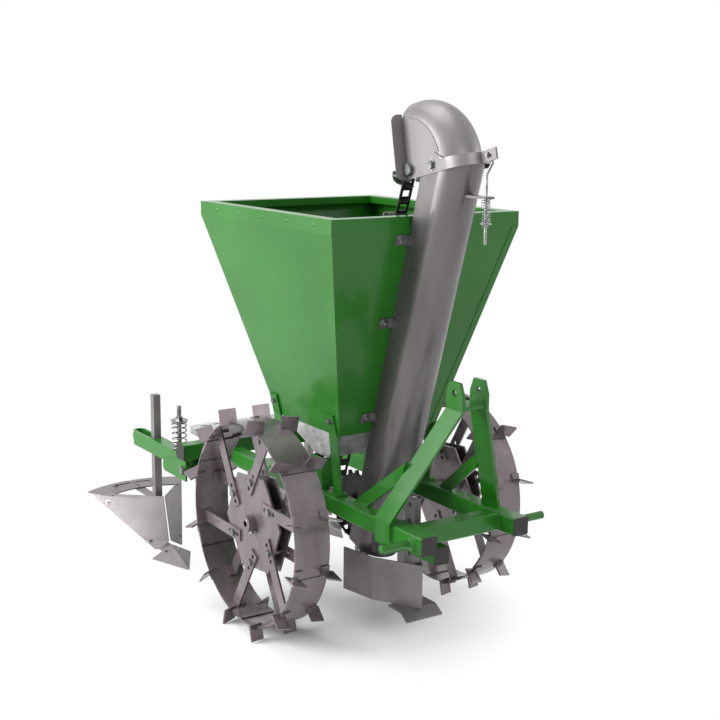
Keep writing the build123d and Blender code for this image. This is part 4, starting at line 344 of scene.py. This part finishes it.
def spangled_zinc():
    """Hot-dip zinc: flakes of slightly different grey, each a little rougher or smoother."""
    material, tree, shader = blank_material("spangled_zinc")
    place = tree.nodes.new("ShaderNodeTexCoord")
    flakes = tree.nodes.new("ShaderNodeTexVoronoi")
    flakes.inputs["Scale"].default_value = 70.0
    tree.links.new(place.outputs["Object"], flakes.inputs["Vector"])
    shade = tree.nodes.new("ShaderNodeSeparateColor")
    tree.links.new(flakes.outputs["Color"], shade.inputs["Color"])
    flake = shade.outputs["Red"]
    colour = tones(tree, flake, DARK_FLAKE, PALE_FLAKE, FLAKE_SPAN)
    tree.links.new(colour, shader.inputs["Base Color"])
    dull = between(tree, flake, low=0.3, high=0.45, span=FLAKE_SPAN)
    tree.links.new(dull, shader.inputs["Roughness"])
    shader.inputs["Metallic"].default_value = 0.75
    return material


galvanised = spangled_zinc()
dress(galvanised, "feed_pan")

# Planting tube with its hood: bent sheet steel, the tube a warm dark grey and the hood paler.
# The tube is satin, with faint streaks along it, and the hood is duller.
SATIN = (0.27, 0.38)
DULL = (0.42, 0.52)


def satin_grey_sheet(name, dark, light, rough):
    """Grey metal sheet with soft streaks of tone between two colours and a range of roughness."""
    material, tree, shader = blank_material(name)
    streaks = noise(tree, per_metre=14.0, detail=4.0, stretch=(1.0, 1.0, 0.25))
    tree.links.new(tones(tree, streaks, dark, light), shader.inputs["Base Color"])
    tree.links.new(between(tree, noise(tree, per_metre=25.0), *rough), shader.inputs["Roughness"])
    shader.inputs["Metallic"].default_value = 0.5
    shader.inputs["Coat Weight"].default_value = 0.15
    shader.inputs["Coat Roughness"].default_value = 0.12
    roughen(tree, shader, noise(tree, per_metre=700.0, detail=2.0), strength=0.08, depth=0.0001)
    return material


tube_grey = satin_grey_sheet("satin_tube_grey", (0.125, 0.114, 0.117), (0.165, 0.151, 0.155), SATIN)
hood_grey = satin_grey_sheet("satin_hood_grey", (0.170, 0.159, 0.166), (0.215, 0.202, 0.210), DULL)
dress(tube_grey, "planting_tube", "tension_bracket")
dress(hood_grey, "hood_elbow", "hood_cheeks")

# Clips and fasteners: bright zinc-plated steel, slightly cloudy, with a few dull patches.
# Hexagon bolts on washers hold the tube's clips to the hopper, and its legs to the sides and the beams.
CLOUDED_ZINC = (0.17, 0.17, 0.172)
CLEAR_ZINC = (0.34, 0.34, 0.335)


def bright_zinc_plate():
    """Zinc plating, clear and a little cloudy."""
    material, tree, shader = blank_material("bright_zinc_plate")
    colour = tones(tree, noise(tree, per_metre=60.0), CLOUDED_ZINC, CLEAR_ZINC)
    tree.links.new(colour, shader.inputs["Base Color"])
    dull = between(tree, noise(tree, per_metre=90.0), low=0.2, high=0.36)
    tree.links.new(dull, shader.inputs["Roughness"])
    shader.inputs["Metallic"].default_value = 0.95
    return material


zinc_plate = bright_zinc_plate()
dress(zinc_plate, "tube_clips", "pivot_bolts", "sprocket_shaft", "tension_rod", "wheel_bolts")
dress(zinc_plate, "seed_cups")

WASHER_THICKNESS = 0.0018
HEAD_HEIGHT_SHARE = 0.6
HEAD_CHAMFER = 0.001
HEAD_TOP_SHARE = 0.86


def hex_bolt(seat, way, across, washer):
    """Grids of a washer and a chamfered hexagon head, or nut, that stand on a seat."""
    height = WASHER_THICKNESS + HEAD_HEIGHT_SHARE * across
    corner = across / np.sqrt(3)
    plate = [(0, washer), (WASHER_THICKNESS, washer)]
    head = [(0, corner), (height - HEAD_CHAMFER, corner), (height, HEAD_TOP_SHARE * corner)]
    return [turned(seat, way, plate), turned(seat, way, head, sides=6)]


CLIP_RISES = (0.049, 0.333, 0.567)
CLIP_BOLT_X = 0.092
CLIP_SHEET = 0.003
LEG_PLACES = (0.435, 0.748)
LEG_SHEET = 0.006
LEG_BOLT_RISE = 0.042
FOOT_BOLT_BEHIND_LEG = 0.036
SMALL_BOLT = {"across": 0.013, "washer": 0.0105}
FOOT_BOLT = {"across": 0.015, "washer": 0.012}
frame_bolts = []
for side in SIDES:
    for rise in CLIP_RISES:
        clip_seat = on_panel(side * CLIP_BOLT_X, rise) + panel_normal * CLIP_SHEET
        frame_bolts += hex_bolt(clip_seat, panel_normal, **SMALL_BOLT)
    for place in LEG_PLACES:
        foot_y = behind(place) + FOOT_BOLT_BEHIND_LEG
        foot_seat = (side * beam_middle[0], foot_y, beam_high[2] + LEG_SHEET)
        frame_bolts += hex_bolt(foot_seat, (0, 0, 1), **FOOT_BOLT)
        leg_x = HALF_BASE + side_slope * LEG_BOLT_RISE + LEG_SHEET
        leg_seat = (side * leg_x, behind(place), panel_low[2] + LEG_BOLT_RISE)
        frame_bolts += hex_bolt(leg_seat, (side, 0, -side_slope), **SMALL_BOLT)
surface("frame_bolts", frame_bolts, zinc_plate, "frame")

# Hood's washers and seams: plated washers under its bolts, and a fold where each cheek meets the elbow.
# The fold is crimped over by hand, so that its line waves a little.
joint_places = {joint["name"]: joint.get("pos_m") for joint in frame["record"]["behaviour"]["joints"]}
hood_pivot = np.array(joint_places["hood_tilt"])
sprocket_middle = np.array(joint_places["top_sprocket_turn"])
half_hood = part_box("hood_elbow")[1][0]
HOOD_WASHER = [(0, 0.0150), (WASHER_THICKNESS, 0.0150), (WASHER_THICKNESS, 0.0060)]
hood_washers = []
for side in SIDES:
    for centre in (hood_pivot, sprocket_middle):
        hood_washers.append(turned((side * half_hood, centre[1], centre[2]), (side, 0, 0), HOOD_WASHER))
surface("hood_washers", hood_washers, zinc_plate, "hood")

SEAM_CRIMPS = 22
SEAM_ARC = 0.1325
SEAM_WAVE = 0.0009
SEAM_RADIUS = 0.0013
SEAM_SWELL = 0.4
SEAM_START = np.radians(82)
SEAM_END = np.radians(158)


def round_tube(line, out, across, radius, sides):
    """Points line + r (cos t out + sin t across), for t round each point of a line; both ends close."""
    closed = radius.copy()
    closed[[0, -1]] = TINY
    turn = np.linspace(0, 2 * np.pi, sides, endpoint=False)[None, :, None]
    ring = np.cos(turn) * out[:, None, :] + np.sin(turn) * across[:, None, :]
    return line[:, None, :] + closed[:, None, None] * ring


def crimped_seam(side):
    """Grid of the folded seam between a cheek and the elbow: a tube along an arc about the shaft.

    Its distance from the shaft is R + a sin(2 pi n s) and its radius r (1 + b sin(2 pi n s)), with s
    running from 0 to 1 over the arc.
    """
    share = np.linspace(0, 1, 12 * SEAM_CRIMPS)
    angle = SEAM_START + (SEAM_END - SEAM_START) * share
    wave = np.sin(2 * np.pi * SEAM_CRIMPS * share)
    out = np.stack([np.zeros_like(angle), np.cos(angle), np.sin(angle)], axis=-1)
    across = np.broadcast_to((1.0, 0.0, 0.0), out.shape)
    middle = np.array((side * half_hood, sprocket_middle[1], sprocket_middle[2]))
    line = middle + (SEAM_ARC + SEAM_WAVE * wave)[:, None] * out
    return round_tube(line, out, across, SEAM_RADIUS * (1 + SEAM_SWELL * wave), sides=10)


surface("hood_seams", [crimped_seam(side) for side in SIDES], hood_grey, "hood")

# Springs: round wire wound into open coils, zinc plated. Each takes the place of its stiff CAD coil.
# The tension spring pulls the hood's ear down; the hillers' springs, further on, press their arms down.
TENSION_WIRE = 0.0025
TENSION_TURNS = 9
STEPS_PER_TURN = 40
END_EASE = 0.10


def coil(name, node, wire, turns):
    """Tube around a helix that closes flat at both ends, from one end of the node's box to the other.

    The helix climbs as s - e sin(2 pi s) / pi, so slower over its first and last turns; at each point a
    circle of the wire's radius stands square to the run of the helix. Its ends close to a point. It rides
    on no body.
    """
    low, high = (np.array(corner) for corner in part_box(node))
    middle = (low + high) / 2
    mean = (high[0] - low[0] - wire) / 2
    angle = np.linspace(0, 2 * np.pi * turns, STEPS_PER_TURN * turns)
    share = angle / angle[-1]
    climb = share - END_EASE * np.sin(2 * np.pi * share) / np.pi
    height = low[2] + wire / 2 + climb * (high[2] - low[2] - wire)
    out = np.stack([np.cos(angle), np.sin(angle), np.zeros_like(angle)], axis=-1)
    line = np.array((middle[0], middle[1], 0)) + mean * out
    line[:, 2] = height
    run = np.gradient(line, axis=0)
    run /= np.linalg.norm(run, axis=1, keepdims=True)
    grid = round_tube(line, out, np.cross(run, out), np.full(len(angle), wire / 2), sides=12)
    piece = surface(name, [grid], zinc_plate)
    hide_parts(node)
    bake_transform(piece)


coil("tension_coil", "tension_spring", TENSION_WIRE, TENSION_TURNS)

# Cup chain: black steel links that carry the cups up through the hopper, over the hood's sprocket
# and down the tube, driven by the sprocket on the axle. They are oiled and worn brighter in patches.
OILED_BLACK = (0.012, 0.012, 0.012)
WORN_STEEL = (0.05, 0.048, 0.045)
WORN_SPAN = (0.45, 0.75)


def oiled_black_steel_and_painted_shade():
    """Oiled chain steel, near black, worn brighter in patches; also used as painted shade in narrow gaps.
    """
    material, tree, shader = blank_material("oiled_black_steel_and_painted_shade")
    wear = noise(tree, per_metre=120.0, detail=5.0)
    tree.links.new(tones(tree, wear, OILED_BLACK, WORN_STEEL, WORN_SPAN), shader.inputs["Base Color"])
    dull = between(tree, noise(tree, per_metre=80.0), low=0.3, high=0.5)
    tree.links.new(dull, shader.inputs["Roughness"])
    shader.inputs["Metallic"].default_value = 0.6
    return material


black_steel_and_painted_shade = oiled_black_steel_and_painted_shade()
dress(black_steel_and_painted_shade, "cup_chain", "top_sprocket", "drive_sprocket")

# Slits in the hood's cheeks: a narrow cut in the sheet near the lower end of each fold.
# Each is dark inside only from shade, which a thin black strip on the cheek paints.
SLIT_PLACES = (0.128, 0.094)
SLIT_HEIGHTS = (1.3924, 1.3806)
SLIT_WIDTH = 0.0022
SLIT_THROUGH = 0.0006
SLIT_PROUD = 0.0001
slit_shades = []
# Painted shade: each black strip stands for the shade inside a cut that is not made in the sheet.
for side in SIDES:
    slit_x = side * (half_hood + SLIT_PROUD)
    ends = [(slit_x, behind(place), z) for place, z in zip(SLIT_PLACES, SLIT_HEIGHTS)]
    slit_shades.append(flat_bar(*ends, (0, 0, SLIT_WIDTH), (SLIT_THROUGH, 0, 0)))
surface("cheek_slit_shades", slit_shades, black_steel_and_painted_shade, "hood")

# Drive axle in two bearing blocks, and the ground wheels with their plates, spokes, rims and lugs.
# Wheels are welded and bolted from cut sheet, warmer and more polished than the tube, with a set screw
# in each hub. Where the segments of a rim overlap, black strips paint the shadow under the proud edge.
POLISHED = (0.20, 0.32)
wheel_grey = satin_grey_sheet("satin_wheel_grey", (0.140, 0.114, 0.125), (0.216, 0.180, 0.196), POLISHED)
dress(wheel_grey, "wheel_hubs", "wheel_spokes", "wheel_rims", "wheel_lugs", "axle_bearings")

axle = np.array(joint_places["axle_turn"])
hub_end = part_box("wheel_hubs")[1][0]
AXLE_END_RING = [(0.0, 0.0135), (0.0008, 0.0125), (0.0008, 0.0095), (-0.0005, 0.0085)]
HUB_SCREW = {"across": 0.013, "washer": 0.0080}
HUB_SCREW_INSET = 0.014
HUB_SCREW_SEAT = 0.023
HUB_SCREW_WAY = np.array((0, -0.5, -0.866))
hub_screws = []
axle_ends = []
for side in SIDES:
    axle_ends.append(turned((side * hub_end, axle[1], axle[2]), (side, 0, 0), AXLE_END_RING))
    screw_foot = np.array((side * (hub_end - HUB_SCREW_INSET), axle[1], axle[2]))
    hub_screws += hex_bolt(screw_foot + HUB_SCREW_SEAT * HUB_SCREW_WAY, HUB_SCREW_WAY, **HUB_SCREW)
surface("hub_screws", hub_screws, zinc_plate, "wheels")

# Painted shadow: a thin black strip across each rim, where its segments overlap, stands for the shadow gap.
RIM_JOINT_ANGLES = np.radians((25, 138, 196, 331))
RIM_JOINT_RADIUS = 0.295
RIM_JOINT_THROUGH = 0.005
RIM_JOINT_WIDTH = 0.0028
RIM_INNER_X = 0.285
RIM_OUTER_X = 0.393
rim_joint_shadows = []
for side in SIDES:
    for angle in RIM_JOINT_ANGLES:
        out = np.array((0, np.cos(angle), np.sin(angle)))
        along = np.array((0, -np.sin(angle), np.cos(angle)))
        middle = np.array((0, axle[1], axle[2])) + RIM_JOINT_RADIUS * out
        ends = [middle + (side * x, 0, 0) for x in (RIM_INNER_X, RIM_OUTER_X)]
        rim_joint_shadows.append(flat_bar(*ends, RIM_JOINT_WIDTH * along, RIM_JOINT_THROUGH * out))
surface("rim_joint_shadows", rim_joint_shadows, black_steel_and_painted_shade, "wheels")
surface("axle_end_rings", axle_ends, wheel_grey, "wheels")

# Bare steel: the drive axle, and the furrow opener with its shank and blade, all left unpainted.
# Grinding leaves fine lines on it, and the sheet has a dull warm cast.
DARK_STEEL = (0.165, 0.151, 0.156)
PALE_STEEL = (0.225, 0.207, 0.213)


def ground_steel():
    """Bare steel with fine grinding lines and cloudy tone."""
    material, tree, shader = blank_material("ground_steel")
    lines = noise(tree, per_metre=220.0, detail=2.0, stretch=(1.0, 1.0, 0.06))
    clouds = noise(tree, per_metre=12.0, detail=5.0)
    tree.links.new(tones(tree, clouds, DARK_STEEL, PALE_STEEL), shader.inputs["Base Color"])
    tree.links.new(between(tree, lines, low=0.36, high=0.50), shader.inputs["Roughness"])
    shader.inputs["Metallic"].default_value = 0.5
    roughen(tree, shader, lines, strength=0.15, depth=0.0001)
    return material


bare_steel = ground_steel()
dress(bare_steel, "drive_axle", "opener_shank", "furrow_opener", "opener_blade")

# Step: tread plate over the rear beam, with two rows of slots and a row of holes between them for grip.
# It is folded from galvanised sheet like the feed pan's and stands on the beam's top.
dress(galvanised, "step_plate")

# Ridging bodies: green sprung arms under the rear beam, with bare steel shanks, shares and wings.
# Each arm is pressed down by a coil on an upright rod, and countersunk plough bolts hold the sheets.
dress(green_paint, "hiller_brackets", "hiller_arm_right", "hiller_arm_left")
dress(zinc_plate, "hiller_spring_rods")
hiller_x = joint_places["arm_lift_left"][0]
WING_BOLTS = ((0.135, 0.6864, 0.1644), (0.055, 0.5249, 0.0580))
SHARE_BOLT = (0.024, 0.4667, 0.0336)
PLOUGH_RING = [(0, 0.0085), (0.0010, 0.0082), (0.0012, 0.0050), (0.0004, 0.0046)]
PLOUGH_SQUARE = [(0, 0.0052), (0.0008, 0.0050)]


def plough_bolts(name, node, body, spots):
    """Countersunk square-neck bolts on the points of a node's face that lie nearest to some spots."""
    rings = []
    squares = []
    for spot in spots:
        seat, normal = nodes[node].closest_point_on_mesh(Vector(spot))[1:3]
        rings.append(turned(seat, normal, PLOUGH_RING))
        squares.append(turned(seat, normal, PLOUGH_SQUARE, sides=4))
    surface(f"{name}_heads", rings, zinc_plate, body)
    surface(f"{name}_necks", squares, black_steel_and_painted_shade, body)


for side, sign in (("right", -1), ("left", 1)):
    for wing, outward in (("outer", 1), ("inner", -1)):
        spots = [(sign * (hiller_x + outward * x), y, z) for x, y, z in WING_BOLTS]
        body = f"wing_{side}_{wing}"
        plough_bolts(f"{body}_bolt", f"hiller_wing_{side}_{wing}", body, spots)
    spots = [(sign * (hiller_x + outward * SHARE_BOLT[0]), *SHARE_BOLT[1:]) for outward in (1, -1)]
    plough_bolts(f"share_{side}_bolt", f"hiller_share_{side}", f"hiller_{side}", spots)

HILLER_WIRE = 0.005
HILLER_TURNS = 6
for side in ("right", "left"):
    dress(bare_steel, f"hiller_shank_{side}", f"hiller_share_{side}")
    dress(bare_steel, f"hiller_wing_{side}_inner", f"hiller_wing_{side}_outer")
    coil(f"hiller_coil_{side}", f"hiller_spring_{side}", HILLER_WIRE, HILLER_TURNS)

# Studio: a pale floor that keeps the machine's shadow and runs out to white, before a white backdrop.
# Soft light comes mostly from behind and from the camera's left, with weaker boxes above, to its right
# and in front.
FLOOR_HALF = 15.0
FLOOR_WHITE = (0.86, 0.86, 0.86, 1)
SHADOW_MIDDLE = (-0.1, -0.15, 0)
SHADOW_FADE = (0.20, 0.62)


def seen_rays(tree):
    """1 for rays from the camera and for reflected and transmitted ones, 0 for the light on the machine."""
    rays = tree.nodes.new("ShaderNodeLightPath")
    total = rays.outputs["Is Camera Ray"]
    for kind in ("Is Glossy Ray", "Is Transmission Ray"):
        either = tree.nodes.new("ShaderNodeMath")
        either.operation = "MAXIMUM"
        tree.links.new(total, either.inputs[0])
        tree.links.new(rays.outputs[kind], either.inputs[1])
        total = either.outputs["Value"]
    return total


def floor_material():
    """White floor that keeps its shadow near the machine and turns into the backdrop further off."""
    material = bpy.data.materials.new("studio_floor")
    material.use_nodes = True
    tree = material.node_tree
    tree.nodes.clear()
    out = tree.nodes.new("ShaderNodeOutputMaterial")
    mix = tree.nodes.new("ShaderNodeMixShader")
    matt = tree.nodes.new("ShaderNodeBsdfDiffuse")
    matt.inputs["Color"].default_value = FLOOR_WHITE
    white = tree.nodes.new("ShaderNodeEmission")
    place = tree.nodes.new("ShaderNodeTexCoord")
    distance = tree.nodes.new("ShaderNodeVectorMath")
    distance.operation = "DISTANCE"
    distance.inputs[1].default_value = SHADOW_MIDDLE
    tree.links.new(place.outputs["Object"], distance.inputs[0])
    fade = between(tree, distance.outputs["Value"], low=0.0, high=1.0, span=SHADOW_FADE)
    share = tree.nodes.new("ShaderNodeMath")
    share.operation = "MULTIPLY"
    tree.links.new(fade, share.inputs[0])
    tree.links.new(seen_rays(tree), share.inputs[1])
    tree.links.new(share.outputs["Value"], mix.inputs["Fac"])
    tree.links.new(matt.outputs["BSDF"], mix.inputs[1])
    tree.links.new(white.outputs["Emission"], mix.inputs[2])
    tree.links.new(mix.outputs["Shader"], out.inputs["Surface"])
    return material


floor_mesh = bpy.data.meshes.new("studio_floor")
floor_corners = [(x * FLOOR_HALF, y * FLOOR_HALF, 0) for x, y in ((-1, -1), (1, -1), (1, 1), (-1, 1))]
floor_mesh.from_pydata(floor_corners, [], [(0, 1, 2, 3)])
floor_mesh.materials.append(floor_material())
studio_floor = bpy.data.objects.new("studio_floor", floor_mesh)
bpy.context.scene.collection.objects.link(studio_floor)

AMBIENT = 0.26
world = bpy.data.worlds.new("studio")
bpy.context.scene.world = world
world.use_nodes = True
sky = world.node_tree
backdrop = sky.nodes["Background"]
backdrop.inputs["Color"].default_value = (1, 1, 1, 1)
strength = sky.nodes.new("ShaderNodeMapRange")
strength.inputs["To Min"].default_value = AMBIENT
strength.inputs["To Max"].default_value = 1.0
sky.links.new(seen_rays(sky), strength.inputs["Value"])
sky.links.new(strength.outputs["Result"], backdrop.inputs["Strength"])

MACHINE_MIDDLE = (0, 0, 0.7)


def softbox(name, place, size, watts):
    """Square area lamp at a place, turned to face the machine's middle."""
    lamp = bpy.data.lights.new(name, "AREA")
    lamp.size = size
    lamp.energy = watts
    box = bpy.data.objects.new(name, lamp)
    box.location = place
    box.rotation_euler = (Vector(MACHINE_MIDDLE) - Vector(place)).to_track_quat("-Z", "Y").to_euler()
    bpy.context.scene.collection.objects.link(box)


softbox("key_from_left_rear", place=(-3.4, 1.2, 2.0), size=2.6, watts=240)
softbox("top_light", place=(-0.3, 0.2, 4.2), size=2.2, watts=75)
softbox("fill_from_right", place=(4.0, -1.6, 1.8), size=2.0, watts=55)
softbox("fill_from_front", place=(-0.4, -4.2, 2.4), size=1.8, watts=45)

# Camera: the photograph's perspective, found from its straight edges.
# A film 36 mm wide, tilted a little down and very slightly rolled.
CAMERA_AT = (-2.095, -3.3315, 1.511)
CAMERA_YAW = np.radians(33.79)
CAMERA_DOWN = np.radians(11.16)
CAMERA_ROLL = np.radians(0.58)
FILM_WIDTH_MM = 36.0
FOCAL_LENGTH_MM = 64.85
flat = np.cos(CAMERA_DOWN)
ahead = Vector((np.sin(CAMERA_YAW) * flat, np.cos(CAMERA_YAW) * flat, -np.sin(CAMERA_DOWN)))
level = ahead.cross(Vector((0, 0, 1))).normalized()
upward = level.cross(ahead)
right = level * np.cos(CAMERA_ROLL) + upward * np.sin(CAMERA_ROLL)
up = upward * np.cos(CAMERA_ROLL) - level * np.sin(CAMERA_ROLL)
lens = bpy.data.cameras.new("camera")
lens.sensor_width = FILM_WIDTH_MM
lens.lens = FOCAL_LENGTH_MM
camera = bpy.data.objects.new("camera", lens)
facing = Matrix((right, up, -ahead)).transposed().to_4x4()
camera.matrix_world = Matrix.Translation(CAMERA_AT) @ facing
bpy.context.scene.collection.objects.link(camera)
bpy.context.scene.camera = camera
bpy.context.scene.view_settings.view_transform = "Standard"
